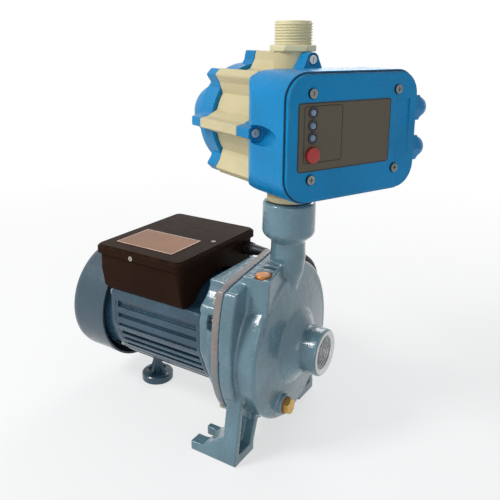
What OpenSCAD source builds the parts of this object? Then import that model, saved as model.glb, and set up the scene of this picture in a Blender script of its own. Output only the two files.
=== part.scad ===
/* [Pump casing] */
// Height of the shaft above the floor
shaft_h = 92; // [90:1:100]
// Suction face, measured ahead of the line through the foot bolts
port_x = 89; // [88:1:94]
// Distance from the suction face back to the discharge axis
discharge_back = 42; // [40:1:44]
// Outside radius of the suction port
port_r = 22.3; // [21:0.1:24]
// Minor radius of the G1 pipe thread in both ports
thread_minor_r = 15.15; // [15.15]
// Major radius of the G1 pipe thread
thread_major_r = 16.62; // [16.62]
// Length of thread in a port
thread_len = 19; // [16:1:22]
// Radius of the round part of the two flanges
flange_r = 78; // [77:0.5:80]
// Thickness of the casing flange
flange_t = 12.7; // [11:0.1:14]
// Radius of the volute where the spiral starts
volute_r = 72; // [70:1:74]
// How far the spiral grows by the discharge
volute_growth = 11; // [8:1:12]
// Depth of the volute in front of the flange
volute_depth = 20; // [18:1:22]
// Radius of the impeller chamber
chamber_r = 66; // [65:0.5:66.5]
// Top of the discharge collar above the floor
collar_top = 233; // [230:1:240]
// Outside radius of the discharge collar
collar_r = 24.4; // [23.5:0.1:26]
// Straight height of the discharge collar
collar_h = 31.5; // [28:0.5:34]
// Outside radius of the discharge neck
neck_r = 16; // [15.5:0.1:17]
// Outer edge of each foot from the middle
foot_outer = 78.6; // [76:0.2:84]
// Width of a foot across the pump
foot_w = 32.4; // [30:0.2:34]
// Length of a foot along the pump
foot_len = 49.5; // [46:0.5:52]
// How far a foot reaches behind the line through the foot bolts
foot_back = 9; // [8:0.5:12]
// Thickness of the foot plate
foot_t = 9; // [8:0.5:11]
// Width of the bolt slot
slot_w = 12; // [10:0.5:13]
// Spacing of the foot bolts across the pump
bolt_span = 118; // [114:1:120]

/* [Motor] */
// Rear face of the bracket flange
bracket_rear_x = 13.5; // [12:0.5:14]
// Thickness of the bracket flange
bracket_t = 8; // [7:0.5:9]
// Thickness of the casing gasket
gasket_t = 0.8; // [0.6:0.1:1]
// Front end of the finned frame
frame_front_x = -12; // [-14:0.5:-11]
// Length of the finned frame
frame_len = 106; // [104:1:110]
// Bore radius of the finned frame
frame_bore_r = 48; // [47.5:0.1:48.3]
// Radius of the frame at the root of the fins
fin_root_r = 52.3; // [52:0.1:53]
// Radius over the fins
fin_tip_r = 56; // [55.5:0.1:57]
// Thickness of a fin
fin_t = 3.4; // [2.5:0.1:4]
// Angle from one fin to the next
fin_pitch = 8.2; // [7.6:0.1:8.8]
// Half width of the frame over its flat sides
side_half = 60.3; // [59.8:0.1:61]
// Radius of the circle of the two lower tie bolts
tie_r = 51.5; // [51.2:0.1:51.8]
// Angle of the lower tie bolts below the middle
tie_angle = 38; // [36:1:41]
// Radius of the shaft through the rotor
shaft_r = 9; // [8.5:0.5:9.5]
// Radius of the two bearing journals
journal_r = 7.5; // [7.5]
// Outside radius of a ball bearing
bearing_r = 17.5; // [17.5]
// Width of a ball bearing
bearing_w = 11; // [11]
// Length of the frame that the stacks leave free
end_room = 48; // [46:1:54]
// Radius of the rotor
rotor_r = 29.6; // [28:0.1:30]
// Air gap between rotor and stator
air_gap = 0.4; // [0.3:0.1:0.6]
// Front edge of the fan cover
cover_front_x = -135; // [-137:0.5:-134]
// Length of the fan cover
cover_len = 48; // [46:1:52]
// Outside radius of the fan cover
cover_r = 61.6; // [61:0.1:63]
// Wall of the fan cover
cover_t = 1.6; // [1.2:0.1:2]
// Radius over the fan blades
fan_r = 50; // [46:1:51]
// From the frame's rear end to the middle of the motor foot
foot_inset = 1.5; // [1:0.5:18]
// Radius of the motor foot's pad
motor_foot_r = 17.3; // [16.5:0.1:20]

/* [Terminal box] */
// Length of the lid
lid_len = 107.7; // [104:0.1:110]
// Width of the lid
lid_w = 133.4; // [132:0.2:136]
// Front end of the lid
lid_front_x = -28.6; // [-30:0.1:-26]
// Top of the lid above the floor
lid_top = 175.5; // [174:0.5:180]
// Height of the lid's skirt
lid_h = 8.6; // [8:0.1:10]
// Bottom of the box's two side pockets above the floor
box_bottom = 128; // [126:0.5:132]
// Wall of the box
box_t = 2.2; // [1.8:0.1:2.6]
// Length of the rating plate
plate_len = 71; // [60:1:74]
// Width of the rating plate
plate_w = 47.6; // [40:0.2:50]

/* [Pressure control] */
// Turn of the control unit on its inlet
unit_turn = -23.8; // [-26:0.1:-20]
// Height of the drum's axis above the floor
drum_z = 302.6; // [300:0.1:306]
// Radius of the drum
drum_r = 48; // [47:0.5:49]
// Radius over the drum's ribs
rib_r = 64; // [63:0.5:65]
// Half width of a rib at its top
rib_half = 4.4; // [4:0.1:5.5]
// Radius of the circle of ear screws
ear_r = 57.2; // [56.5:0.1:58]
// Rear end of the cream drum
drum_back = -50; // [-52:0.5:-48]
// Front end of the cream drum
drum_front = 24; // [22:0.5:25]
// Rear face of the control housing
housing_back = 14; // [13:0.5:16]
// Front face of the control housing's ears
ear_front = 27.2; // [26:0.2:29]
// Front face of the lid
lid_front_n = 73.6; // [72:0.2:76]
// Left end of the lid
lid_left = -60.2; // [-61:0.1:-59]
// Width of the lid
front_w = 137.8; // [134:0.2:140]
// Bottom of the lid above the floor
lid_bottom = 253.4; // [252:0.2:254]
// Height of the lid
front_h = 97.8; // [96:0.2:100]
// Corner radius of the lid
front_corner = 20; // [18:0.5:22]
// How far the housing stands proud of the lid all round
housing_lip = 1.8; // [1.4:0.1:2.4]
// Thickness of the lid
front_t = 4.2; // [3.5:0.1:5]
// Wall of the control housing
housing_t = 2.4; // [2:0.1:3]
// Radius of the water way through the control unit
way_r = 12.5; // [11.5:0.1:12.8]
// Bottom of the outlet nipple's hexagon above the floor
hex_bottom = 366; // [365.9:0.1:367]
// Height of the outlet nipple's hexagon
hex_h = 5.5; // [5:0.1:7]
// Corner radius of the outlet nipple's hexagon
hex_r = 20.3; // [19.8:0.1:21]
// Length of the outlet thread
outlet_len = 20; // [16:1:20]
// Radius of the reset button
button_r = 6.2; // [5.5:0.1:6.6]
// Travel of the reset button
button_travel = 1.5; // [1:0.1:1.8]
// Lift of the flow valve
valve_lift = 7; // [5:0.5:7]

/* [Mains cord] */
// Diameter of the cord
cord_d = 7.5; // [7.5]
// Mean diameter of the coil
coil_d = 80; // [80]

/* [Fits] */
// Gap between a moving piece and its neighbour
run_gap = 0.3; // [0.25:0.05:0.4]
// Radial gap of a shaft in its bearing
shaft_gap = 0.05; // [0.03:0.01:0.08]
// Gap between two pieces that are fitted together and stay still
fit = 0.1; // [0.05:0.05:0.15]

/* [Hidden] */
$fn = 96;
eps = 0.01;

neck_x = port_x - discharge_back;
bracket_front_x = bracket_rear_x + bracket_t;
casing_rear_x = bracket_front_x + gasket_t;
flange_front_x = casing_rear_x + flange_t;
volute_front_x = flange_front_x + volute_depth;
foot_inner = foot_outer - foot_w;
foot_rear_x = -foot_back;
foot_front_x = foot_rear_x + foot_len;
frame_rear_x = frame_front_x - frame_len;
motor_foot_x = frame_rear_x + foot_inset;
stack_front_x = frame_front_x - 28;
stack_len = frame_len - end_room;
stack_rear_x = stack_front_x - stack_len;
front_bearing_x = frame_front_x - 2;
rear_bearing_x = frame_rear_x - 8;
cover_rear_x = cover_front_x - cover_len;

// Runs its children's Z axis along the shaft, from the foot bolt line
module on_shaft() { translate([0, 0, shaft_h]) rotate([0, 90, 0]) children(); }

// A solid turned about the shaft from [radius, x] points
module turned(points) { on_shaft() rotate_extrude() polygon(points); }

// A plate lying across the shaft, from a [y, z] outline
module across(x, thick) { translate([x, 0, 0]) rotate([90, 0, 90]) linear_extrude(thick) children(); }

// A plate lying along the shaft, from an [x, z] outline, centred on y
module along(y, thick) { translate([0, y + thick / 2, 0]) rotate([90, 0, 0]) linear_extrude(thick) children(); }

// A tube along Z
module ring(outer, inner, height) {
    difference() {
        cylinder(r = outer, h = height);
        translate([0, 0, -1]) cylinder(r = inner, h = height + 2);
    }
}

// A hexagon bolt: head then shank, along +Z, with the seat at zero
module hex_bolt(head_r, head_h, shank_r, shank_len) {
    translate([0, 0, -head_h]) cylinder(r = head_r, h = head_h, $fn = 6);
    cylinder(r = shank_r, h = shank_len, $fn = 32);
}

// A pan head screw with a cross recess, head outwards along +Z, seat at zero
module pan_screw(head_r, head_h, shank_r, shank_len) {
    difference() {
        cylinder(r = head_r, h = head_h, $fn = 32);
        for (turn = [0, 90]) rotate([0, 0, turn])
            translate([-head_r * 0.55, -head_r * 0.11, head_h * 0.45]) cube([head_r * 1.1, head_r * 0.22, head_h]);
    }
    translate([0, 0, -shank_len]) cylinder(r = shank_r, h = shank_len + eps, $fn = 32);
}

// A rectangle with round corners, from its low corner
module round_rect(w, h, r) {
    translate([r, 0]) square([w - 2 * r, h]);
    translate([0, r]) square([w, h - 2 * r]);
    for (x = [r, w - r], y = [r, h - r]) translate([x, y]) circle(r = r, $fn = 64);
}

// Top of the casing's flange, which is also the floor of the pocket beside the discharge
function floor_z(y) = shaft_h + flange_r + 4.4 + 0.19 * y;
// Top of the rim round that pocket
function rim_z(y) = shaft_h + flange_r + 7 + 0.105 * y;

// The flange outline: a disc with a squared shoulder beside the discharge
module flange_outline(shrink = 0, left = 0) {
    translate([0, shaft_h]) circle(r = flange_r - shrink, $fn = 120);
    edge = shrink - flange_r - left;
    polygon([[0, shaft_h], [edge, shaft_h + 8], [edge + 0.4, shaft_h + 22], [edge + 1.8, shaft_h + 37],
        [edge + 3.3, shaft_h + 47], [edge + 5.4, shaft_h + 56], [edge + 8, shaft_h + 65.5 - shrink],
        [edge + 10.5, shaft_h + 69.6 - shrink], [edge + 14.5, floor_z(edge + 10) - shrink], [edge + 21, floor_z(edge + 21) - shrink],
        [neck_r, floor_z(neck_r / 4) - shrink], [flange_r * 0.43, shaft_h + flange_r * 0.92 - shrink],
        [flange_r * 0.43, shaft_h]]);
}

// The four places where bolts hold the casing to the bracket, as [y, z]
bolt_r = flange_r - 6;
bolt_places = [[16 - flange_r, shaft_h + 58], [-0.72 * bolt_r, shaft_h - 0.69 * bolt_r],
    [0.72 * bolt_r, shaft_h - 0.69 * bolt_r], [0.72 * bolt_r, shaft_h + 0.69 * bolt_r]];

// A round drum with its front edge rounded, as [radius, x] points
function drum_points(r, rear, front, edge) = concat([[0, rear], [r, rear]],
    [for (t = [0 : 15 : 90]) [r - edge + edge * cos(t), front - edge + edge * sin(t)]], [[0, front]]);

// The volute: a drum, and a larger one set off centre for the sector where the spiral grows
module volute(rear, front, margin, edge) {
    turned(drum_points(volute_r + margin, rear, front, edge));
    intersection() {
        translate([0, -0.89 * volute_growth, 0.16 * volute_growth])
            turned(drum_points(volute_r + 0.905 * volute_growth + margin, rear, front, edge));
        across(rear - 1, front - rear + 2) translate([0, shaft_h])
            polygon([[0, 0], [150, -26.5], [150, 120], [4 - margin, 120], [4 - margin, 0]]);
    }
}

// One leg with its foot, on the -Y side: a channel open to the front
leg_wall = 6;
module leg() {
    top = shaft_h - 24;
    rear_x = casing_rear_x + 3;
    knee_z = foot_t + 15;
    side = [[foot_rear_x, 0], [foot_front_x, 0], [foot_front_x, top], [rear_x, top], [rear_x, knee_z],
        [foot_rear_x + 13.4, foot_t], [foot_rear_x, foot_t]];
    channel_x = foot_front_x - 10;
    pocket_side = [[channel_x, foot_t], [foot_front_x + 1, foot_t], [foot_front_x + 1, top], [channel_x, top]];
    front = [[-foot_outer, 0], [-foot_inner, 0], [-foot_inner, foot_t], [-foot_inner + 8.7, shaft_h - volute_r + 11],
        [-foot_inner + 8.7, shaft_h - 44], [-66, top + 8], [-68.6, top], [-foot_outer, foot_t]];
    pocket_front = [[-foot_outer + leg_wall + 1, foot_t], [-foot_inner - leg_wall, foot_t],
        [-foot_inner + 1.5, shaft_h - volute_r + 10], [-foot_inner + 1.5, shaft_h - 42], [-62, top]];
    difference() {
        intersection() {
            along(-foot_outer + 30, 80) polygon(side);
            across(foot_rear_x - 1, foot_len + 2) polygon(front);
        }
        intersection() {
            along(-foot_outer + 30, 80) polygon(pocket_side);
            across(foot_rear_x, foot_len + 2) polygon(pocket_front);
        }
        on_shaft() translate([0, 0, foot_rear_x]) cylinder(r = flange_r + 1.5, h = casing_rear_x - foot_rear_x);
        translate([foot_rear_x - 1, -bolt_span / 2 - slot_w / 2, -1]) cube([-foot_rear_x + 1, slot_w, 40]);
        translate([0, -bolt_span / 2, -1]) cylinder(r = slot_w / 2, h = 40, $fn = 48);
    }
}

// The boxed shoulder beside the discharge, with a sloping pocket in its top and a boss for the priming plug
plug_x = port_x - discharge_back - 3;
plug_y = -39.6;
plug_r = 7.3;
plug_seat_z = rim_z(plug_y) - 3.7;
plug_hole_r = 4.8;
wall_y = -46.7;
shoulder_wall = 3.8;
module shoulder_block(inset) {
    translate([volute_front_x - inset, wall_y + inset, 0]) rotate([0, 0, 6.6])
        across(-volute_depth - 8, volute_depth + 8) polygon([[-4.8, shaft_h + 48], [0, rim_z(wall_y) - 1],
            [1, rim_z(wall_y)], [60, rim_z(12)], [60, shaft_h + 48]]);
}
module priming_shoulder() {
    difference() {
        intersection() {
            shoulder_block(0);
            across(flange_front_x - 7, volute_depth + 7) polygon([[-80, shaft_h], [-80, shaft_h + 110], [0, shaft_h + 110],
                [0, shaft_h]]);
        }
        intersection() {
            shoulder_block(shoulder_wall);
            across(flange_front_x - 20, volute_depth + 20)
                polygon([[-80, floor_z(-80)], [-80, rim_z(0) + 20], [10, rim_z(0) + 20], [10, floor_z(10)]]);
        }
        translate([0, -80, rim_z(0) - 0.6]) cube([200, 160, 20]);
    }
    translate([plug_x, plug_y, shaft_h + 50]) cylinder(r = plug_r + 1, h = plug_seat_z - shaft_h - 50, $fn = 48);
}

drain_y = -25;
drain_z = shaft_h - 50;
drain_seat_x = volute_front_x + 7;

module pump_casing() color([0.36, 0.46, 0.52]) {
    difference() {
        union() {
            across(casing_rear_x, flange_t) flange_outline(0, 1);
            volute(flange_front_x - 5, volute_front_x, 0, 4);
            turned([[0, casing_rear_x], [0, port_x], [port_r - 1.6, port_x], [port_r, port_x - 1.8],
                [port_r, port_x - 17], [port_r + 1.6, port_x - 20], [30, port_x - 25.5], [34, port_x - 27.5],
                [36, volute_front_x + 4], [volute_r - 6, volute_front_x], [volute_r - 6, casing_rear_x]]);
            translate([neck_x, 0, 0]) rotate_extrude()
                polygon([[0, shaft_h + 52], [8, shaft_h + 52], [neck_r - 1, shaft_h + 74], [neck_r + 0.6, shaft_h + 88],
                    [neck_r, shaft_h + 96], [neck_r, collar_top - collar_h - 6], [collar_r - 1.4, collar_top - collar_h],
                    [collar_r, collar_top - collar_h + 3], [collar_r, collar_top - 2], [collar_r - 1.6, collar_top],
                    [0, collar_top]]);
            priming_shoulder();
            leg();
            mirror([0, 1, 0]) leg();
            translate([volute_front_x - 6, drain_y, drain_z]) rotate([0, 90, 0])
                cylinder(r = 10, h = drain_seat_x - volute_front_x + 6, $fn = 48);
        }
        // the impeller chamber and the spiral channel round it
        turned([[0, casing_rear_x - 1], [chamber_r, casing_rear_x - 1], [chamber_r, volute_front_x - 8],
            [27, volute_front_x - 4], [24, port_x - 27], [17, port_x - 25], [0, port_x - 25]]);
        volute(flange_front_x, volute_front_x - 7, -7, 2);
        // suction port
        on_shaft() translate([0, 0, port_x - thread_len]) cylinder(r = thread_minor_r, h = thread_len + 1);
        on_shaft() translate([0, 0, port_x - 26]) cylinder(r = 14, h = 26);
        turned([[0, port_x - 1.9], [thread_minor_r, port_x - 1.9], [thread_major_r + 0.5, port_x + eps], [0, port_x + eps]]);
        // discharge
        translate([neck_x, 0, shaft_h + 66]) cylinder(r = 11.5, h = 100);
        translate([neck_x, 0, collar_top - thread_len - 1]) cylinder(r = thread_major_r + fit, h = thread_len + 2);
        // plug holes
        translate([plug_x, plug_y, shaft_h + 40]) cylinder(r = plug_hole_r, h = 80, $fn = 48);
        translate([plug_x, plug_y, plug_seat_z]) cylinder(r = plug_r + 0.7, h = 20, $fn = 64);
        translate([volute_front_x - 20, drain_y, drain_z]) rotate([0, 90, 0])
            cylinder(r = plug_hole_r, h = 60, $fn = 48);
        for (p = bolt_places) translate([casing_rear_x - 1, p[0], p[1]]) rotate([0, 90, 0])
            cylinder(r = 3, h = flange_t - 0.5, $fn = 32);
    }
}

module casing_gasket() color([0.12, 0.14, 0.15])
    difference() {
        union() {
            across(bracket_front_x, gasket_t) flange_outline(2);
            on_shaft() translate([0, 0, bracket_front_x]) cylinder(r = flange_r - 3, h = gasket_t);
        }
        on_shaft() cylinder(r = chamber_r + 1, h = 60);
        for (p = bolt_places) translate([bracket_front_x - 1, p[0], p[1]]) rotate([0, 90, 0])
            cylinder(r = 3.2, h = 3, $fn = 32);
    }

seal_pocket_r = 12;
seal_seat_x = bracket_rear_x + 3.5;
spigot_x = bracket_front_x + 3;
// The frame's outline: round below, with flat sides up to the rails
module frame_outline(shrink = 0) {
    translate([0, shaft_h]) circle(r = fin_tip_r - shrink, $fn = 120);
    half = side_half - shrink;
    polygon([[-half, rail_top - 4], [-half, shaft_h + 0.5], [-half + 2.1, shaft_h - 5.5], [-half + 5.4, shaft_h - 13],
        [-half + 9.9, shaft_h - 21], [half - 9.9, shaft_h - 21], [half - 5.4, shaft_h - 13],
        [half - 2.1, shaft_h - 5.5], [half, shaft_h + 0.5], [half, rail_top - 4], [half - 2, rail_top], [2 - half, rail_top]]);
}

head_half = 43;
module motor_bracket() color([0.30, 0.42, 0.49])
    difference() {
        union() {
            across(bracket_rear_x, bracket_t) flange_outline();
            on_shaft() cylinder(r = chamber_r - 2 * fit, h = spigot_x);
            // round body behind the flange and its register in the frame
            intersection() {
                across(frame_front_x, bracket_rear_x - frame_front_x + 1) frame_outline();
                across(frame_front_x, bracket_rear_x - frame_front_x + 1) square([300, 2 * (rail_top - 11)], center = true);
            }
            on_shaft() translate([0, 0, frame_front_x - 4]) cylinder(r = frame_bore_r - fit, h = 20);
            // lugs for the upper tie bolts, then the squared head that flares down to them
            across(frame_front_x, 9) intersection() {
                frame_outline();
                translate([-100, rail_top - 16]) square([200, 17]);
            }
            across(frame_front_x, bracket_rear_x - frame_front_x + 1) polygon([[-side_half + 6, rail_top - 12],
                [-side_half + 1, rail_top + 5], [-side_half + 3, rail_top + 9], [-head_half - 7.5, rail_top + 14],
                [-head_half - 2.5, rail_top + 19.5], [-head_half, rail_top + 24], [-head_half, rail_top + 28], [1 - head_half, rail_top + 29.8],
                [head_half - 12, rail_top + 29.8], [head_half - 2, rail_top + 16], [head_half, rail_top - 12]]);
        }
        // hollow round the bearing housing, open to the motor
        turned([[22, frame_front_x - 5], [22, bracket_rear_x - 4], [24, bracket_rear_x - 1], [44, bracket_rear_x - 2],
            [44, frame_front_x - 5]]);
        turned([[0, frame_front_x - 5], [bearing_r + fit, frame_front_x - 5], [bearing_r + fit, front_bearing_x + bearing_w],
            [10, front_bearing_x + bearing_w], [10, seal_seat_x], [seal_pocket_r, seal_seat_x], [seal_pocket_r, spigot_x + 1],
            [0, spigot_x + 1]]);
        // recess between the left lug and the flange
        translate([frame_front_x + 9, -side_half - 1, rail_top - 13])
            cube([bracket_rear_x - frame_front_x - 9, 8, 15]);
        for (p = bolt_places) translate([bracket_rear_x - 20, p[0], p[1]]) rotate([0, 90, 0])
            cylinder(r = 3.2, h = bracket_t + 21, $fn = 32);
        for (p = bolt_places) translate([bracket_rear_x - 12, p[0], p[1]]) rotate([0, 90, 0]) cylinder(r = 8, h = 12, $fn = 48);
        tie_holes(frame_front_x - 5, 20);
    }

module casing_bolts() color([0.62, 0.63, 0.62])
    for (p = bolt_places) translate([bracket_rear_x, p[0], p[1]]) rotate([0, 90, 0])
        hex_bolt(6.6, 4.2, 2.9, bracket_t + gasket_t + flange_t - 2.5);

impeller_back_x = spigot_x + 4;
impeller_r = 59;
shaft_tip_r = 5;
impeller_seat_r = 6.5;
module impeller() color([0.78, 0.62, 0.30])
    difference() {
        union() {
            // back shroud and hub
            turned([[0, impeller_back_x], [impeller_r, impeller_back_x], [impeller_r, impeller_back_x + 2.5],
                [20, impeller_back_x + 3.5], [12, impeller_back_x + 8], [12, impeller_back_x + 13], [0, impeller_back_x + 13]]);
            // front shroud with the eye
            turned([[impeller_r, impeller_back_x + 8.5], [impeller_r, impeller_back_x + 10.5],
                [26, impeller_back_x + 13.5], [20, impeller_back_x + 19], [17.5, impeller_back_x + 19],
                [18, impeller_back_x + 13.5], [24, impeller_back_x + 10.8]]);
            // six vanes swept back
            on_shaft() translate([0, 0, impeller_back_x + 1]) for (i = [0:5]) rotate([0, 0, i * 60])
                intersection() {
                    translate([0, 39, 0]) difference() {
                        cylinder(r = 38, h = 9.2);
                        translate([0, 0, -1]) cylinder(r = 35.6, h = 12);
                    }
                    translate([-60, -14, 0]) cube([60, 64, 9.2]);
                    cylinder(r = impeller_r - 0.5, h = 9.2);
                }
        }
        on_shaft() cylinder(r = impeller_seat_r + fit / 2, h = impeller_back_x + 30);
        translate([impeller_back_x - 1, -1.6, shaft_h + impeller_seat_r - 1]) cube([15, 3.2, 3.6]);
    }

module impeller_key() color([0.6, 0.6, 0.6])
    translate([impeller_back_x + 1, -1.5, shaft_h + impeller_seat_r - 2]) cube([10, 3, 4]);

module impeller_nut() color([0.75, 0.75, 0.74])
    on_shaft() translate([0, 0, impeller_back_x + 13 + fit]) difference() {
        cylinder(r = 9, h = 7, $fn = 6);
        translate([0, 0, -1]) cylinder(r = shaft_tip_r + fit / 2, h = 10);
    }

seal_shaft_r = 7;
module seal_seat() color([0.9, 0.89, 0.86])
    on_shaft() translate([0, 0, seal_seat_x]) ring(seal_pocket_r - fit / 2, seal_shaft_r + run_gap, 6);

module seal_head() color([0.22, 0.22, 0.24])
    on_shaft() translate([0, 0, seal_seat_x + 6 + fit]) ring(10.5, seal_shaft_r + fit / 2,
        impeller_back_x - seal_seat_x - 6 - 2 * fit);

module shaft() color([0.7, 0.71, 0.72])
    difference() {
        turned([[0, cover_rear_x + 22], [6, cover_rear_x + 22], [6, rear_bearing_x - 4], [journal_r, rear_bearing_x - 4],
            [journal_r, rear_bearing_x + bearing_w + run_gap],
            [shaft_r, rear_bearing_x + bearing_w + run_gap], [shaft_r, front_bearing_x - run_gap],
            [journal_r, front_bearing_x - run_gap], [journal_r, front_bearing_x + bearing_w + 2],
            [seal_shaft_r, front_bearing_x + bearing_w + 2], [seal_shaft_r, impeller_back_x],
            [impeller_seat_r, impeller_back_x], [impeller_seat_r, impeller_back_x + 13],
            [shaft_tip_r, impeller_back_x + 13], [shaft_tip_r, impeller_back_x + 22], [0, impeller_back_x + 22]]);
        translate([impeller_back_x + 1 - fit, -1.5 - fit / 2, shaft_h + impeller_seat_r - 2 - fit / 2])
            cube([10 + 2 * fit, 3 + fit, 5]);
    }

// A sealed ball bearing: the two rings and the shields between them
module bearing() color([0.55, 0.56, 0.58])
    rotate_extrude() polygon([[journal_r + shaft_gap, 0], [10.5, 0], [11, 0.6], [14, 0.6], [14.5, 0], [bearing_r, 0],
        [bearing_r, bearing_w], [14.5, bearing_w], [14, bearing_w - 0.6], [11, bearing_w - 0.6], [10.5, bearing_w],
        [journal_r + shaft_gap, bearing_w]]);

module front_bearing() on_shaft() translate([0, 0, front_bearing_x]) bearing();
module rear_bearing() on_shaft() translate([0, 0, rear_bearing_x]) bearing();

module shaft_slinger() color([0.1, 0.1, 0.1])
    turned([[seal_shaft_r + fit / 2, front_bearing_x + bearing_w + 3], [9.6, front_bearing_x + bearing_w + 3],
        [9.6, front_bearing_x + bearing_w + 5], [8.4, front_bearing_x + bearing_w + 7],
        [seal_shaft_r + fit / 2, front_bearing_x + bearing_w + 7]]);

slots = 24;
slot_ring_r = 36;
module rotor_core() color([0.55, 0.56, 0.58])
    difference() {
        turned([[0, stack_rear_x - 7], [26, stack_rear_x - 7], [27, stack_rear_x], [rotor_r, stack_rear_x],
            [rotor_r, stack_front_x], [27, stack_front_x], [26, stack_front_x + 7], [0, stack_front_x + 7]]);
        on_shaft() translate([0, 0, stack_rear_x - 10]) cylinder(r = shaft_r + fit / 2, h = stack_len + 20);
    }

module stator_core() color([0.33, 0.34, 0.36])
    on_shaft() translate([0, 0, stack_rear_x]) difference() {
        cylinder(r = frame_bore_r - fit / 2, h = stack_len);
        translate([0, 0, -1]) cylinder(r = rotor_r + air_gap, h = stack_len + 2);
        for (i = [1:slots]) rotate([0, 0, i * 360 / slots]) {
            translate([slot_ring_r, 0, -1]) cylinder(r = 2.9, h = stack_len + 2, $fn = 24);
            translate([rotor_r, -0.9, -1]) cube([slot_ring_r - rotor_r, 1.8, stack_len + 2]);
        }
    }

module windings() color([0.72, 0.38, 0.18])
    on_shaft() {
        for (i = [1:slots]) rotate([0, 0, i * 360 / slots])
            translate([slot_ring_r, 0, stack_rear_x - 4]) cylinder(r = 2.8, h = stack_len + 8, $fn = 24);
        for (x = [stack_rear_x - 14, stack_front_x + 1]) translate([0, 0, x])
            rotate_extrude() polygon([[32.5, 1], [34, 0], [42, 0], [44, 2], [44, 11], [42, 13], [34, 13], [32.5, 12]]);
    }

foot_top_z = shaft_h - fin_tip_r - 0.6;
rail_top = box_bottom - fit;
tie_places = [for (side = [-1, 1]) each [[side * (side_half - 7.5), rail_top - 5.6],
    [side * tie_r * cos(tie_angle), shaft_h - tie_r * sin(tie_angle)]]];
module tie_holes(x, length) {
    for (p = tie_places) translate([x, p[0], p[1]]) rotate([0, 90, 0]) cylinder(r = 2.5 + fit, h = length, $fn = 32);
}

module motor_frame() color([0.25, 0.39, 0.48])
    difference() {
        union() {
            on_shaft() translate([0, 0, frame_rear_x]) cylinder(r = fin_root_r, h = frame_len);
            // round fins below, then level ones on the flat sides under the rails
            for (i = [-9 : 9]) on_shaft() translate([0, 0, frame_rear_x + 1]) rotate([0, 0, i * fin_pitch])
                translate([frame_bore_r + 1, -fin_t / 2, 0]) cube([fin_tip_r - frame_bore_r - 1, fin_t, frame_len - 2]);
            across(frame_rear_x + 1, frame_len - 2) intersection() {
                frame_outline();
                union() {
                    for (level = [-5.6, 4.5, 15.4]) translate([-80, shaft_h + level - fin_t * 0.9]) square([160, fin_t * 1.8]);
                    translate([-80, rail_top - 10.5]) square([160, 11]);
                    translate([3.6 - side_half, shaft_h - 5]) square([2 * side_half - 7.2, 30]);
                }
            }
            // rims at both ends
            across(frame_rear_x, 3) frame_outline(1);
            across(frame_front_x - 3, 3) frame_outline();
            // a boss along each lower tie bolt
            for (p = tie_places) translate([frame_rear_x + 1, p[0], p[1]]) rotate([0, 90, 0])
                cylinder(r = 4.8, h = frame_len - 2, $fn = 48);
            // boss for the motor foot
            translate([motor_foot_x, 0, foot_top_z]) cylinder(r = 8.5, h = shaft_h - frame_bore_r - foot_top_z, $fn = 64);
        }
        on_shaft() translate([0, 0, frame_rear_x - 10]) cylinder(r = frame_bore_r, h = frame_len + 20);
        tie_holes(frame_rear_x - 1, frame_len + 2);
        translate([motor_foot_x, 0, 0]) cylinder(r = 3 + fit, h = shaft_h - frame_bore_r + 1, $fn = 32);
    }

module rear_endshield() color([0.28, 0.41, 0.49])
    difference() {
        union() {
            across(frame_rear_x - 5, 5) frame_outline(0.6);
            turned([[0, rear_bearing_x - 3], [0, rear_bearing_x + bearing_w + 1], [21, rear_bearing_x + bearing_w + 1],
                [23, frame_rear_x - 4], [43, frame_rear_x - 3], [44, frame_rear_x + 4], [frame_bore_r - fit, frame_rear_x + 4],
                [frame_bore_r - fit, frame_rear_x], [fin_tip_r - 1.2, frame_rear_x], [fin_tip_r - 1.2, cover_front_x - 6],
                [fan_r + 3, cover_front_x - 6], [fan_r + 3, frame_rear_x - 12], [fan_r, frame_rear_x - 9]]);
            // posts that carry the fan cover, above and below
            for (side = [-1, 1]) translate([cover_front_x - 9, -6, shaft_h + side * (cover_r - cover_t - fit - 3) - 3])
                cube([9 - run_gap, 12, 6]);
        }
        turned([[0, rear_bearing_x - 4], [9, rear_bearing_x - 4], [9, rear_bearing_x], [bearing_r + fit, rear_bearing_x],
            [bearing_r + fit, rear_bearing_x + bearing_w + 2], [0, rear_bearing_x + bearing_w + 2]]);
        tie_holes(frame_rear_x - 20, 21);
        // pockets for the heads of the tie bolts
        for (p = tie_places) translate([frame_rear_x - 21, p[0], p[1]]) rotate([0, 90, 0])
            cylinder(r = 5.5, h = 16, $fn = 48);
        // room for the foot's boss
        translate([motor_foot_x, 0, 0]) cylinder(r = 9, h = shaft_h - frame_bore_r + fit / 2, $fn = 64);
        translate([cover_front_x - 5, 0, 0]) cylinder(r = 1.6, h = 2 * shaft_h, $fn = 24);
        // the posts' outer faces follow the cover
        turned([[cover_r - cover_t - fit, cover_front_x - 20], [cover_r + 10, cover_front_x - 20],
            [cover_r + 10, cover_front_x + 1], [cover_r - cover_t - fit, cover_front_x + 1]]);
    }

module tie_bolts() color([0.62, 0.63, 0.62])
    for (p = tie_places) translate([frame_rear_x - 5, p[0], p[1]])
        rotate([0, 90, 0]) hex_bolt(4.6, 3.6, 2.5, frame_len + 17);

fan_x = rear_bearing_x - 30;
module cooling_fan() color([0.12, 0.13, 0.14])
    on_shaft() translate([0, 0, fan_x]) difference() {
        union() {
            cylinder(r = 11, h = 20);
            translate([0, 0, 16]) cylinder(r = fan_r - 12, h = 2.5);
            for (i = [0:6]) rotate([0, 0, i * 360 / 7]) translate([8, -1, 0]) cube([fan_r - 8, 2, 17]);
        }
        translate([0, 0, -1]) cylinder(r = 6 + fit / 2, h = 30);
    }

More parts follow.
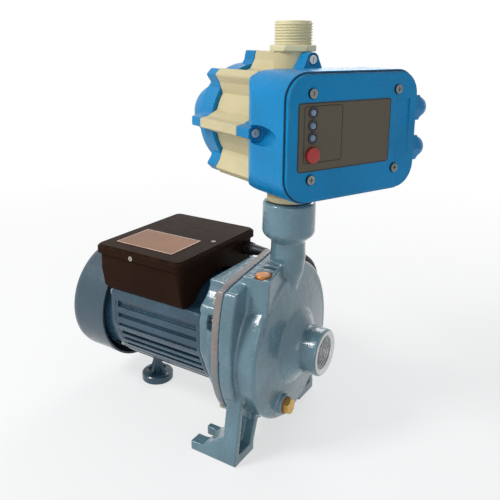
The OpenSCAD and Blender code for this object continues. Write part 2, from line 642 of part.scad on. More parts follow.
// A drawn cup with a round rear edge, a raised band at its mouth and a slotted grille
module fan_cover() color([0.36, 0.43, 0.48])
    difference() {
        turned([[0, cover_rear_x], [cover_r - 9, cover_rear_x], [cover_r - 4.5, cover_rear_x + 1.2],
            [cover_r - 1.2, cover_rear_x + 4.6], [cover_r - 0.3, cover_rear_x + 9], [cover_r - 0.3, cover_front_x - 8.5],
            [cover_r + 0.5, cover_front_x - 7.5], [cover_r + 0.5, cover_front_x], [cover_r - cover_t, cover_front_x],
            [cover_r - cover_t, cover_rear_x + 9], [cover_r - 3, cover_rear_x + 5.6], [cover_r - 5.5, cover_rear_x + 2.8],
            [cover_r - 9.5, cover_rear_x + cover_t], [0, cover_rear_x + cover_t]]);
        on_shaft() translate([0, 0, cover_rear_x - 1]) for (i = [0:23]) rotate([0, 0, i * 15])
            translate([16, -1.6, 0]) cube([30, 3.2, cover_t + 2]);
        translate([cover_front_x - 5, 0, 0]) cylinder(r = 1.9, h = 2 * shaft_h, $fn = 24);
    }

module fan_cover_screws() color([0.6, 0.62, 0.64])
    for (side = [0, 180]) translate([cover_front_x - 5, 0, shaft_h]) rotate([side, 0, 0])
        translate([0, 0, cover_r + 0.5]) pan_screw(3.6, 2.2, 1.5, 6.5);

module motor_foot() color([0.27, 0.40, 0.47])
    translate([motor_foot_x, 0, 0]) difference() {
        union() {
            rotate_extrude() polygon([[0, 0], [motor_foot_r - 0.8, 0], [motor_foot_r, 0.8], [motor_foot_r, 7.3],
                [motor_foot_r - 1.2, 8.5], [0, 8.5]]);
            cylinder(r = 4.8, h = foot_top_z, $fn = 64);
            translate([0, 0, foot_top_z - 4]) cylinder(r = 8.5, h = 4, $fn = 64);
            // four curved ribs
            for (turn = [0, 90]) rotate([0, 0, turn]) along(0, 3.4)
                polygon(concat([[1.2 - motor_foot_r, 7.5], [motor_foot_r - 1.2, 7.5]],
                    [for (t = [0 : 6 : 90]) [4.6 + (motor_foot_r - 6.2) * (1 - sin(t)), 8.5 + 18 * (1 - cos(t))]],
                    [[8, foot_top_z - 4], [8, foot_top_z], [-8, foot_top_z], [-8, foot_top_z - 4]],
                    [for (t = [90 : -6 : 0]) [-4.6 - (motor_foot_r - 6.2) * (1 - sin(t)), 8.5 + 18 * (1 - cos(t))]]));
        }
        translate([0, 0, -1]) cylinder(r = 3 + fit, h = foot_top_z + 2, $fn = 32);
        translate([0, 0, -1]) cylinder(r = 4.4, h = 6, $fn = 48);
    }

module motor_foot_bolt() color([0.6, 0.62, 0.62])
    translate([motor_foot_x, 0, 5]) hex_bolt(4.2, 3.6, 3, shaft_h - frame_bore_r - 7);

box_front_x = lid_front_x - 2.4;
box_len = lid_len - 4.8;
box_w = lid_w - 5.6;
lid_bottom_z = lid_top - lid_h;
saddle_r = fin_tip_r + 0.8;
box_floor_z = shaft_h + saddle_r + box_t;

// A block with round upright corners, from its low corner
module round_block(size, r) { linear_extrude(size[2]) round_rect(size[0], size[1], r); }

// The inside of the box, or its outside with a margin of nothing
module box_form(margin) {
    translate([box_front_x - box_len + margin, -box_w / 2 + margin, box_bottom + margin])
        round_block([box_len - 2 * margin, box_w - 2 * margin, lid_bottom_z - box_bottom + min(margin, 1)], 6 - margin);
}

// The lower rear corners slope in towards the bottom
module box_slopes(margin) {
    rear = box_front_x - box_len;
    along(0, box_w + 4) polygon([[rear - 1, box_bottom - 1], [rear + 9 + margin, box_bottom - 1],
        [rear + 4.6 + margin, box_bottom + 5 + margin / 2], [rear + 1.6 + margin, lid_bottom_z - 4], [rear - 1, lid_bottom_z - 4]]);
    for (side = [0, 1]) mirror([0, side, 0]) across(rear - 1, box_len + 2)
        polygon([[-box_w / 2 - 1, box_bottom - 1], [-box_w / 2 + 6 + margin, box_bottom - 1],
            [-box_w / 2 + 2.6 + margin, box_bottom + 3.4 + margin / 2], [-box_w / 2 + margin, lid_bottom_z - 8],
            [-box_w / 2 - 1, lid_bottom_z - 8]]);
}

gland_nut_r = 8;
gland_y = 50;
gland_z = lid_bottom_z - gland_nut_r - 1.9;
gland_thread_r = 6;
gland_hole_r = gland_thread_r + 2 * fit;
capacitor_r = 13;
capacitor_y = 17 - box_w / 2;
capacitor_z = shaft_h + sqrt(pow(saddle_r + box_t + capacitor_r + 0.2, 2) - pow(capacitor_y, 2));
module terminal_box() color([0.10, 0.07, 0.06])
    difference() {
        box_form(0);
        box_slopes(0);
        // the saddle that sits over the finned frame
        on_shaft() translate([0, 0, box_front_x - box_len - 1]) cylinder(r = saddle_r, h = box_len + 2, $fn = 120);
        translate([box_front_x - box_len - 1, -38, box_bottom - 2]) cube([box_len + 2, 76, 8]);
        difference() {
            box_form(box_t);
            box_slopes(box_t);
            on_shaft() translate([0, 0, box_front_x - box_len - 1])
                cylinder(r = saddle_r + box_t, h = box_len + 2, $fn = 120);
        }
        // gland hole in the front wall
        translate([box_front_x - 2 * box_t, gland_y, gland_z]) rotate([0, 90, 0])
            cylinder(r = gland_hole_r, h = 4 * box_t, $fn = 48);
    }

module terminal_box_lid() color([0.11, 0.07, 0.055])
    difference() {
        translate([lid_front_x - lid_len, -lid_w / 2, 0]) {
            translate([0, 0, lid_bottom_z]) round_block([lid_len, lid_w, lid_h - 2.4], 7);
            translate([0.9, 0.9, lid_top - 2.5]) round_block([lid_len - 1.8, lid_w - 1.8, 1.3], 6.4);
            translate([2.4, 2.4, lid_top - 1.3]) round_block([lid_len - 4.8, lid_w - 4.8, 1.3], 5.4);
            translate([2.4 + box_t + fit, 2.8 + box_t + fit, lid_bottom_z - 3])
                round_block([box_len - 2 * (box_t + fit), box_w - 2 * (box_t + fit), 4], 3.6);
        }
        translate([lid_front_x - lid_len + 2.4 + 2 * box_t, -box_w / 2 + 2 * box_t, lid_bottom_z - 4])
            round_block([box_len - 4 * box_t, box_w - 4 * box_t, lid_h + 4 - 2.6], 2);
        // seat of the top screw
        translate([lid_front_x - 12, 3.7, lid_top - 1]) cylinder(r = 2.6, h = 3, $fn = 32);
        translate([lid_front_x - 12, 3.7, lid_bottom_z]) cylinder(r = 1.5, h = lid_h + 3, $fn = 24);
        // side screws
        translate([lid_front_x - 59, -lid_w, lid_bottom_z + 2.6]) rotate([-90, 0, 0]) cylinder(r = 1.5, h = 2 * lid_w, $fn = 24);
    }

module lid_screws() color([0.72, 0.72, 0.70]) {
    translate([lid_front_x - 12, 3.7, lid_top - 1]) pan_screw(2.3, 1.2, 1.4, 8);
    for (side = [0, 180]) translate([lid_front_x - 59, 0, lid_bottom_z + 2.6]) rotate([0, 0, side])
        rotate([90, 0, 0]) translate([0, 0, lid_w / 2]) pan_screw(2.4, 1.3, 1.4, 5);
}

module rating_plate() color([0.72, 0.50, 0.33])
    translate([lid_front_x - 22.4 - plate_len, -50.6, lid_top]) round_block([plate_len, plate_w, 0.5], 1);

module capacitor() color([0.85, 0.85, 0.83])
    translate([box_front_x - 84, capacitor_y, capacitor_z]) rotate([0, 90, 0]) {
        cylinder(r = capacitor_r, h = 60);
        for (y = [-4, 4]) translate([-3, y - 0.4, 60 - eps]) cube([6, 0.8, 6]);
    }

module terminal_block() color([0.90, 0.89, 0.84])
    translate([box_front_x - 54, -15, box_floor_z + fit]) difference() {
        union() {
            cube([22, 34, 7]);
            for (i = [0:2]) translate([2, 3 + i * 10, 6]) cube([18, 8, 4]);
        }
        for (i = [0:2], x = [6, 16]) translate([x, 7 + i * 10, 4]) cylinder(r = 1.8, h = 10, $fn = 24);
    }

// Turned about the gland's axis from [radius, x] points
module gland_turned(points) {
    translate([0, gland_y, gland_z]) rotate([0, 90, 0]) rotate_extrude() polygon(points);
}

// Nut, body and a long bend relief that narrows towards the cord
module cord_gland() color([0.09, 0.09, 0.09]) {
    gland_turned([[0, box_front_x - 8], [gland_thread_r, box_front_x - 8], [gland_thread_r, box_front_x],
        [gland_nut_r - 0.6, box_front_x], [gland_nut_r - 0.6, box_front_x + 3], [7, box_front_x + 3],
        [7, box_front_x + 9], [6, box_front_x + 10.5], [cord_r + 0.6, gland_tip_x],
        [0, gland_tip_x]]);
    translate([box_front_x + 3, gland_y, gland_z]) rotate([0, 90, 0]) cylinder(r = gland_nut_r, h = 5.5, $fn = 6);
}

// The mains cord: its points run from the gland over the casing flange and down to the coil on the floor
gland_tip_x = box_front_x + 26;
cord_r = cord_d / 2;
coil_x = -80;
coil_y = 145;
coil_z = 1.4;
cord_route = [[-5, 50, 157], [1, 50, 157.2], [7, 50.6, 158], [13, 52.4, 159.2], [20, 55.5, 159.4], [26, 62, 157],
    [30, 69.5, 152], [32.5, 77, 145], [33.5, 83.5, 135.5], [33.5, 88.5, 124.5], [33, 92, 112], [32, 94.5, 99],
    [31, 96.5, 86], [30, 98, 73], [28.5, 99, 60], [26, 100, 47.5], [22, 100.5, 36], [16.5, 101, 25.5],
    [9, 101, 16.5], [0, 101, 10], [-10, 101, 6.2], [-21, 101, 4.6], [-33, 101, 4.2], [-46, 101, 4.4],
    [-60, 101, 4.9], [-72, 101.2, 5.3], [-80, 101.2, 5.3]];
tail_route = [[-123.7, 145, 12.8], [-123.8, 152, 13.4], [-124, 160, 15.6], [-124, 168, 17.9], [-124, 176, 19],
    [-124, 184, 19]];
mains_plug_x = -124;
plug_rear_y = 184;
mains_plug_r = 19;

function unit(v) = v / norm(v);
function tangent(p, i) = unit(p[min(i + 1, len(p) - 1)] - p[max(i - 1, 0)]);
function side_of(t) = unit(cross(t, abs(t[2]) > 0.9 ? [1, 0, 0] : [0, 0, 1]));
// Rings of points round a route, each turned least from the one before
function carry(v, t) = unit(v - (v * t) * t);
function frames(p, i, v) = i >= len(p) ? [] :
    let (t = tangent(p, i), n = carry(v, t)) concat([[t, n]], frames(p, i + 1, n));

// A round tube swept along a route
module sweep(route, r, sides) {
    f = frames(route, 0, side_of(tangent(route, 0)));
    n = len(route);
    points = [for (i = [0:n - 1], k = [0:sides - 1])
        let (a = 360 * k / sides, b = cross(f[i][0], f[i][1])) route[i] + r * (cos(a) * f[i][1] + sin(a) * b)];
    faces = concat([[for (k = [0:sides - 1]) k]],
        [for (i = [0:n - 2], k = [0:sides - 1]) [i * sides + k, (i + 1) * sides + k,
            (i + 1) * sides + (k + 1) % sides, i * sides + (k + 1) % sides]],
        [[for (k = [sides - 1:-1:0]) (n - 1) * sides + k]]);
    polyhedron(points, faces);
}

module mains_cord() color([0.05, 0.05, 0.05]) {
    sweep(cord_route, cord_r, 12);
    sweep(tail_route, cord_r, 12);
}

// Four turns of cord in a bundle, laid flat behind the pump
module cord_coil() color([0.05, 0.05, 0.05])
    translate([coil_x, coil_y, coil_z]) rotate_extrude() {
        for (side = [-1, 1], row = [0, 1])
            translate([coil_d / 2 + side * cord_r, cord_r + 0.1 + row * cord_d]) circle(r = cord_r + 0.1, $fn = 32);
        translate([coil_d / 2 - 1.5, cord_d - 1.5]) square(3.2);
    }

tie_t = 1.1;
module cord_tie() color([0.16, 0.16, 0.16])
    translate([coil_x, coil_y, coil_z]) rotate([0, 0, -10]) difference() {
        translate([coil_d / 2 - cord_d - 0.6 - tie_t, -5, -tie_t - 0.1])
            cube([2 * cord_d + 0.9 + 2 * tie_t, 10, 2 * cord_d + 0.4 + 2 * tie_t]);
        translate([coil_d / 2 - cord_d - 0.6, -6, -0.1]) cube([2 * cord_d + 0.9, 12, 2 * cord_d + 0.4]);
    }

module mains_plug() color([0.07, 0.07, 0.07])
    translate([mains_plug_x, plug_rear_y, mains_plug_r]) rotate([-90, 0, 0]) difference() {
        union() {
            rotate_extrude() polygon([[0, 0], [cord_r + 1, 0], [7.5, 16], [9, 19], [16, 22], [mains_plug_r, 26],
                [mains_plug_r, 52], [mains_plug_r - 1.5, 54], [0, 54]]);
            for (x = [-9.5, 9.5]) translate([x, 0, 53]) cylinder(r = 2.4, h = 19.5, $fn = 32);
        }
        for (side = [-1, 1]) translate([-20, side * 18.4 - 1.4, 44]) cube([40, 2.8, 20]);
    }

plug_pitch = 0.907;
plug_washer_t = 1;
module priming_washer() color([0.70, 0.42, 0.22])
    translate([plug_x, plug_y, plug_seat_z]) ring(plug_r + 0.4, plug_hole_r + shaft_gap, plug_washer_t);

module priming_plug() color([0.78, 0.48, 0.22])
    translate([plug_x, plug_y, plug_seat_z + plug_washer_t]) {
        rotate_extrude() polygon([[0, 0], [plug_r, 0], [plug_r, 2.4], [plug_r - 0.9, 3.3], [0, 3.5]]);
        translate([0, 0, -9]) cylinder(r = plug_hole_r - shaft_gap, h = 9 + eps, $fn = 48);
    }

module drain_washer() color([0.70, 0.42, 0.22])
    translate([drain_seat_x, drain_y, drain_z]) rotate([0, 90, 0]) ring(8, plug_hole_r + shaft_gap, plug_washer_t);

module drain_plug() color([0.80, 0.66, 0.36])
    translate([drain_seat_x + plug_washer_t, drain_y, drain_z]) rotate([0, 90, 0]) {
        intersection() {
            cylinder(r = 7.6, h = 5, $fn = 6);
            rotate_extrude() polygon([[0, 0], [8, 0], [8, 3.9], [6.6, 5], [0, 5]]);
        }
        translate([0, 0, -10]) cylinder(r = plug_hole_r - shaft_gap, h = 10 + eps, $fn = 48);
    }

// The control unit stands on the discharge and is turned on it; X is its front, Y its right, Z up
module on_unit() { translate([neck_x, 0, 0]) rotate([0, 0, unit_turn]) children(); }

// Turned about the drum's axis from [radius, front] points
module drum_turned(points) {
    translate([0, 0, drum_z]) rotate([0, 90, 0]) rotate_extrude() polygon(points);
}

// A rod along the front axis, at a place across and up
module rod(front, across, up, r, length) {
    translate([front, across, up]) rotate([0, 90, 0]) cylinder(r = r, h = length, $fn = 48);
}

// A place on the drum's rim with its Z axis pointing out, at an angle up from the right
module at_rib(a) { translate([0, 0, drum_z]) rotate([a - 90, 0, 0]) children(); }

rib_angles = [0, 45, 90, 135, 180, 225, 315];
rib_front = 9;
top_rib_r = min(rib_r, hex_bottom - run_gap - drum_z);
neck_out_r = way_r + 4;
ear_screw_r = 2.1;
module rib_outline(top) polygon([[-11, drum_r - 2], [11, drum_r - 2], [rib_half + 1.4, top - 8], [rib_half, top - 1.2],
    [rib_half - 0.8, top], [0.8 - rib_half, top], [-rib_half, top - 1.2], [-rib_half - 1.4, top - 8]]);

// A tube through the drum for the water, from below the inlet thread to the outlet
valve_seat_z = drum_z - drum_r + 3;
inlet_z = collar_top - thread_len;
inlet_seal_t = 1.2;
web_n = drum_back + 12;
module control_body() color([0.84, 0.79, 0.62])
    on_unit() difference() {
        union() {
            difference() {
                drum_turned([[0, drum_back], [drum_r - 0.8, drum_back], [drum_r, drum_back + 0.8], [drum_r, drum_front],
                    [0, drum_front]]);
                // open pocket towards the housing
                drum_turned([[0, web_n + 4], [drum_r - 4, web_n + 4], [drum_r - 4, drum_front + 1], [0, drum_front + 1]]);
            }
            for (a = rib_angles) at_rib(a) across(drum_back, rib_front - drum_back) rib_outline(a == 90 ? top_rib_r : rib_r);
            translate([0, 0, drum_z - drum_r + 1]) cylinder(r = neck_out_r, h = hex_bottom - drum_z + drum_r - 1);
            rod(web_n + 1, 0, drum_z, 11, -web_n);
            rotate_extrude() polygon([[way_r - 3, inlet_z], [thread_major_r - 1, inlet_z], [thread_major_r, inlet_z + 1],
                [thread_major_r, collar_top + inlet_seal_t], [20.5, collar_top + inlet_seal_t], [20.5, collar_top + 6],
                [18.5, collar_top + 8], [18.5, drum_z - drum_r + 8], [way_r - 3, drum_z - drum_r + 8]]);
        }
        translate([0, 0, inlet_z - 1]) cylinder(r = way_r - 2.5, h = valve_seat_z - inlet_z + 2);
        translate([0, 0, valve_seat_z]) cylinder(r = way_r, h = hex_bottom - valve_seat_z + 1);
        // chamber behind the diaphragm and its passage to the water way
        drum_turned([[0, drum_back - 1], [drum_r - 8, drum_back - 1], [drum_r - 8, web_n - 4], [drum_r - 14, web_n], [0, web_n]]);
        rod(web_n - 1, 0, drum_z, 7, -web_n);
        // screw holes; the top one stops behind the neck
        for (a = rib_angles) at_rib(a) translate([drum_back - 1, 0, ear_r]) rotate([0, 90, 0])
            cylinder(r = ear_screw_r + fit, h = a == 90 ? 22 : rib_front - drum_back + 2, $fn = 32);
    }

diaphragm_t = 1.2;
cap_front = drum_back - diaphragm_t;
module diaphragm() color([0.1, 0.1, 0.1])
    on_unit() drum_turned([[0, cap_front], [drum_r - 0.6, cap_front], [drum_r - 0.6, drum_back], [0, drum_back]]);

// The back cap has a deep dome for the pressure spring
dome_r = 29;
dome_x = -117;
module back_cap() color([0.13, 0.46, 0.66])
    on_unit() difference() {
        union() {
            drum_turned(concat([for (t = [90 : -15 : 0]) [dome_r - 26 + 26 * cos(t), dome_x - 26 * sin(t)]],
                [[dome_r + 2, -98], [38, -82], [47, -76], [51.5, -73], [51.5, cap_front], [46, cap_front], [46, -70],
                [36, -78], [dome_r - 0.5, -97], [dome_r - 2.5, dome_x]],
                [for (t = [15 : 15 : 90]) [dome_r - 26 + 23.5 * cos(t), dome_x - 23.5 * sin(t)]]));
            for (a = rib_angles) at_rib(a) across(-67, 67 + cap_front)
                intersection() {
                    rib_outline(rib_r - 1);
                    translate([-20, drum_r - 1]) square(40);
                }
        }
        for (a = rib_angles) at_rib(a) translate([-68, 0, ear_r]) rotate([0, 90, 0])
            cylinder(r = ear_screw_r + fit, h = 20, $fn = 32);
    }

piston_front = cap_front - run_gap;
module pressure_piston() color([0.75, 0.75, 0.72])
    on_unit() drum_turned([[0, piston_front - 12], [6, piston_front - 12], [6, piston_front - 3.5],
        [20, piston_front - 3], [24, piston_front - 4.5], [34, piston_front - 2.5], [34, piston_front], [0, piston_front]]);

// A coil spring with its lower wire centre at zero, drawn along Z
module spring(mean_r, wire_r, length, turns, sides) {
    steps = turns * 14;
    sweep([for (i = [0:steps]) [mean_r * cos(i * 360 / 14), mean_r * sin(i * 360 / 14), length * i / steps]], wire_r, sides);
}

module pressure_spring() color([0.7, 0.71, 0.72])
    on_unit() translate([dome_x - 20, 0, drum_z]) rotate([0, 90, 0])
        spring(10, 1.4, piston_front - 3.3 - 1.4 - run_gap - dome_x + 20, 5, 8);

housing_front = lid_front_n - front_t;
seal_back = housing_front - 0.4;
lid_back = seal_back + 0.7;
module front_outline(grow) translate([lid_left - grow, lid_bottom - grow])
    round_rect(front_w + 2 * grow, front_h + 2 * grow, front_corner + grow);

lid_screw_across = [lid_left + 21.9, lid_left + 113.3];
lid_screw_up = [lid_bottom + 17.7, lid_bottom + 83.6];
lamp_across = lid_left + 22.7;
lamp_up = [lid_bottom + 69.3, lid_bottom + 59.5, lid_bottom + 50.1];
button_up = lid_bottom + 37.1;
gland_up = [lid_bottom + 64.6, lid_bottom + 28.6];
gland_front = 52;
board_front = 50;
board_t = 1.6;
right_face = lid_left + front_w + housing_lip;
control_gland_r = 7.6;

// Ears over the ribs, one with a round end in front of the neck
module ear_outline(top) polygon(concat([[-12, drum_r - 2], [12, drum_r - 2]],
    [for (t = [8:8:172]) [(top - ear_r + 0.4) * cos(t), ear_r + (top - ear_r) * sin(t)]]));

// The housing's form with round back edges, shrunk for its inside
back_round = 15;
module round_back(w, back, inset) {
    r = back_round - inset;
    translate([back + r, 0]) square([80 - r, w]);
    translate([back, r]) square([80, w - 2 * r]);
    for (y = [r, w - r]) translate([back + r, y]) circle(r = r);
}
module housing_form(inset, back) {
    grow = housing_lip - inset;
    intersection() {
        across(back, housing_front - back + (inset > 0 ? 5 : 0)) front_outline(grow);
        linear_extrude(lid_bottom + front_h + 20) translate([0, lid_left - grow]) round_back(front_w + 2 * grow, back, inset);
        translate([0, 200, lid_bottom - grow]) rotate([90, 0, 0]) linear_extrude(400)
            round_back(front_h + 2 * grow, back, inset);
    }
}

// A round way from the left ear's screw, leaning out to the side
ear_sink = 2.2;
module driver_way(margin, back)
    translate([ear_front, -ear_r, drum_z]) rotate([0, 90, -21]) translate([0, 0, -back])
        cylinder(r = 8 + margin, h = 60 + back, $fn = 64);

module control_housing() color([0.07, 0.46, 0.71])
    on_unit() difference() {
        union() {
            difference() {
                housing_form(0, housing_back);
                housing_form(housing_t, housing_back + housing_t);
            }
            // a wider rim under the seal
            difference() {
                across(housing_front - 4, 4) front_outline(housing_lip - 1);
                across(housing_front - 5, 6) front_outline(-1.8);
            }
            at_rib(90) across(rib_front + run_gap, ear_front - rib_front - run_gap) ear_outline(top_rib_r);
            for (a = [0, 45, 135, 180, 225, 315]) at_rib(a) across(rib_front + run_gap,
                (a == 180 ? ear_front : drum_front + 1) - rib_front - run_gap) rib_outline(rib_r);
            intersection() {
                housing_form(0, housing_back);
                driver_way(1.8, 10);
            }
            for (y = lid_screw_across, z = lid_screw_up) rod(housing_back + 1, y, z, 4.6, seal_back - housing_back - 1);
            for (y = [lid_left + 12, lid_left + 118], z = [button_up - 4, lamp_up[0] - 2])
                rod(housing_back + 1, y, z, 3, board_front - housing_back - 1);
        }
        // over the drum and round the neck
        drum_turned([[0, 0], [drum_r + run_gap, 0], [drum_r + run_gap, drum_front], [0, drum_front]]);
        translate([0, 0, drum_z]) cylinder(r = neck_out_r + run_gap, h = hex_bottom - drum_z + 5);
        // groove for the seal
        across(seal_back, 2) front_outline(0.8 + fit);
        for (y = lid_screw_across, z = lid_screw_up) rod(seal_back - 14, y, z, 1.6, 16);
        for (z = gland_up) translate([gland_front, right_face - 6, z]) rotate([-90, 0, 0])
            cylinder(r = control_gland_r + fit, h = 12, $fn = 48);
        for (a = rib_angles) at_rib(a) translate([rib_front - 1, 0, ear_r]) rotate([0, 90, 0])
            cylinder(r = ear_screw_r + fit, h = (a == 90 || a == 180 ? ear_front + 1 : drum_front) - rib_front, $fn = 32);
        for (a = [90, 180]) at_rib(a) rod(ear_front - ear_sink, 0, ear_r, 4.8, 9);
        // a way for the driver, sloping out of the housing's side
        intersection() {
            driver_way(0, 0);
            across(ear_front, 60) translate([-100, drum_z - 20]) square([100, 40]);
        }
    }

// Screws through the drum's ribs: two from the front, one of them short of the neck, the others from behind
module ear_screws() color([0.72, 0.72, 0.70])
    on_unit() {
        for (a = [90, 180]) at_rib(a) translate([ear_front - ear_sink, 0, ear_r]) rotate([0, 90, 0])
            pan_screw(3.8, 2.6, ear_screw_r, ear_front - ear_sink + (a == 90 ? -neck_out_r - 1 : 64));
        for (a = [0, 45, 90, 135, 225, 315]) at_rib(a) translate([-67, 0, ear_r]) rotate([0, -90, 0])
            pan_screw(3.8, 2.6, ear_screw_r, a == 90 ? 37 : 64 + drum_front);
    }

module lid_seal() color([0.04, 0.05, 0.06])
    on_unit() difference() {
        across(seal_back, lid_back - seal_back) front_outline(0.8);
        across(seal_back - 1, 3) front_outline(-1.2);
        for (y = lid_screw_across, z = lid_screw_up) rod(seal_back - 1, y, z, 2, 4);
    }

label_across = lid_left + 8.7;
label_w = 97;
label_up = lid_bottom + 24.2;
label_h = 52.7;
module control_lid() color([0.07, 0.46, 0.70])
    on_unit() difference() {
        union() {
            across(lid_back, lid_front_n - lid_back - 0.9) front_outline(0);
            across(lid_front_n - 1, 0.6) front_outline(-0.4);
            across(lid_front_n - 0.5, 0.5) front_outline(-1);
        }
        difference() {
            across(lid_back - 1, lid_front_n - lid_back - 1.2) front_outline(-4);
            for (y = lid_screw_across, z = lid_screw_up) rod(lid_back - 2, y, z, 4.6, 6);
        }
        for (y = lid_screw_across, z = lid_screw_up) {
            rod(lid_back - 2, y, z, 1.8, 10);
            rod(lid_front_n - 0.8, y, z, 4.3, 3);
        }
        for (z = lamp_up) rod(lid_back - 2, lamp_across, z, 3.7, 10);
        rod(lid_back - 2, lamp_across, button_up, button_r + run_gap, 10);
        // a sloping finger recess beside the label
        along(lid_left + 120.7, 17) polygon([[lid_front_n + 0.1, lid_bottom + 22], [lid_front_n + 0.1, lid_bottom + 75.6],
            [lid_front_n - 1.5, lid_bottom + 75.6]]);
    }

module control_lid_screws() color([0.75, 0.75, 0.73])
    on_unit() for (y = lid_screw_across, z = lid_screw_up) translate([lid_front_n - 0.8, y, z]) rotate([0, 90, 0])
        pan_screw(3.7, 2.4, 1.5, 14);

label_t = 0.4;
module control_label() color([0.46, 0.42, 0.35])
    on_unit() difference() {
        across(lid_front_n, label_t) translate([label_across, label_up]) round_rect(label_w, label_h, 3);
        for (z = lamp_up) rod(lid_front_n - 1, lamp_across, z, 3.9, 3);
        rod(lid_front_n - 1, lamp_across, button_up, button_r + run_gap, 3);
    }

// Turned about a lamp's or the button's axis from [radius, front] points
module front_turned(across, up, points) {
    translate([0, across, up]) rotate([0, 90, 0]) rotate_extrude($fn = 64) polygon(points);
}

bezel_seat = lid_front_n + label_t;
module lamp_bezels() color([0.16, 0.17, 0.19])
    on_unit() for (z = lamp_up) front_turned(lamp_across, z, [[3, lid_front_n - 7], [3.6, lid_front_n - 7],
        [3.6, bezel_seat], [4.4, bezel_seat], [4.4, bezel_seat + 0.8], [4, bezel_seat + 1.3], [3.3, bezel_seat + 1.3],
        [3, bezel_seat + 0.9]]);

module lamp_lenses() color([0.42, 0.50, 0.60])
    on_unit() for (z = lamp_up) front_turned(lamp_across, z, [[0, board_front + board_t], [1, board_front + board_t],
        [1, lid_front_n - 9], [3 - fit, lid_front_n - 9], [3 - fit, bezel_seat + 0.3], [2.3, bezel_seat + 1],
        [1.2, bezel_seat + 1.5], [0, bezel_seat + 1.6]]);

switch_top = board_front + board_t + 8;
button_back = lid_back + 1.9 - run_gap;
module reset_button() color([0.75, 0.14, 0.12])
    on_unit() front_turned(lamp_across, button_up, [[0, switch_top + button_travel + run_gap],
        [2, switch_top + button_travel + run_gap], [2, button_back - 3.4], [button_r + 1.4, button_back - 3.4],
        [button_r + 1.4, button_back - 2], [button_r, button_back - 2], [button_r, lid_front_n + 2.6],
        [button_r - 0.5, lid_front_n + 3.3], [button_r - 1.5, lid_front_n + 3.5], [0, lid_front_n + 3.5]]);

module circuit_board() color([0.10, 0.35, 0.18])
    on_unit() {
        across(board_front, board_t) translate([lid_left + 6, button_up - 12]) square([116, 52]);
        // relay, transformer, terminals, switch and smoothing capacitor
        for (block = [[-12, 284, 22, 17, 14], [16, 298, 30, 24, 13], [50, 286, 9, 34, 10]])
            across(board_front + board_t - eps, block[4]) translate([block[0], block[1]]) square([block[2], block[3]]);
        across(board_front + board_t - eps, 8 + eps) translate([lamp_across - 3, button_up - 3]) square(6);
        rod(board_front + board_t - eps, -4, 316, 5, 12);
    }

module cable_glands() color([0.08, 0.46, 0.69])
    on_unit() for (z = gland_up) translate([gland_front, 0, z]) rotate([-90, 0, 0]) {
        rotate_extrude() polygon([[4.2, right_face - 7], [control_gland_r, right_face - 7], [control_gland_r, right_face],
            [12.3, right_face], [12.3, right_face + 3.5], [10.8, right_face + 4.5], [10.8, right_face + 18],
            [10.2, right_face + 22], [8.6, right_face + 26], [6.2, right_face + 28.6], [4.2, right_face + 28.6]]);
        difference() {
            translate([0, 0, right_face + 4]) cylinder(r = 12.8, h = 15, $fn = 6);
            translate([0, 0, right_face + 3]) cylinder(r = 10, h = 17);
        }
        difference() {
            translate([0, 0, right_face - housing_t - 4.2]) cylinder(r = 10.5, h = 4.2, $fn = 6);
            translate([0, 0, right_face - housing_t - 5]) cylinder(r = control_gland_r - 0.2, h = 6);
        }
    }

valve_z = valve_seat_z + run_gap;
guide_z = valve_z + valve_lift + 9;
module flow_valve() color([0.9, 0.9, 0.88])
    translate([neck_x, 0, 0]) rotate_extrude() polygon([[0, valve_z - 2], [way_r - 4, valve_z - 2], [way_r - 4, valve_z],
        [way_r - 1, valve_z], [way_r - 1, valve_z + 2.5], [4, valve_z + 3], [2.5, valve_z + 4], [2.5, guide_z + 8], [0, guide_z + 8]]);

module valve_guide() color([0.86, 0.84, 0.78])
    on_unit() translate([0, 0, guide_z]) {
        ring(way_r - shaft_gap, way_r - 2, 5);
        ring(4.6, 2.5 + shaft_gap, 5);
        for (a = [0, 120, 240]) rotate([0, 0, a]) translate([4, -0.9, 0]) cube([way_r - 5.5, 1.8, 5]);
    }

module valve_spring() color([0.7, 0.71, 0.72])
    on_unit() translate([0, 0, valve_z + 3 + 0.6 + run_gap])
        spring(6, 0.6, guide_z - valve_z - 3 - 1.2 - 2 * run_gap, 4, 8);

module outlet_nipple() color([0.80, 0.74, 0.56])
    on_unit() difference() {
        union() {
            translate([0, 0, hex_bottom]) intersection() {
                cylinder(r = hex_r, h = hex_h, $fn = 6);
                rotate_extrude() polygon([[0, 0], [hex_r - 0.9, 0], [hex_r + 0.3, 1.2], [hex_r + 0.3, hex_h - 1.2],
                    [hex_r - 0.9, hex_h], [0, hex_h]]);
            }
            rotate_extrude() polygon([[0, hex_bottom - 16], [way_r - fit, hex_bottom - 16], [way_r - fit, hex_bottom],
                [way_r + 1, hex_bottom], [way_r + 1, hex_bottom + hex_h - 1], [thread_major_r, hex_bottom + hex_h - 1],
                [thread_major_r, hex_bottom + hex_h + outlet_len - 1.2],
                [thread_major_r - 1.2, hex_bottom + hex_h + outlet_len], [0, hex_bottom + hex_h + outlet_len]]);
        }
        translate([0, 0, hex_bottom - 17]) cylinder(r = way_r - 2.1, h = 30);
        translate([0, 0, hex_bottom - 6]) cylinder(r = way_r - 0.5, h = hex_h + outlet_len + 8);
    }

module inlet_seal() color([0.08, 0.08, 0.08])
    translate([neck_x, 0, collar_top]) ring(19.6, thread_major_r + run_gap, inlet_seal_t);

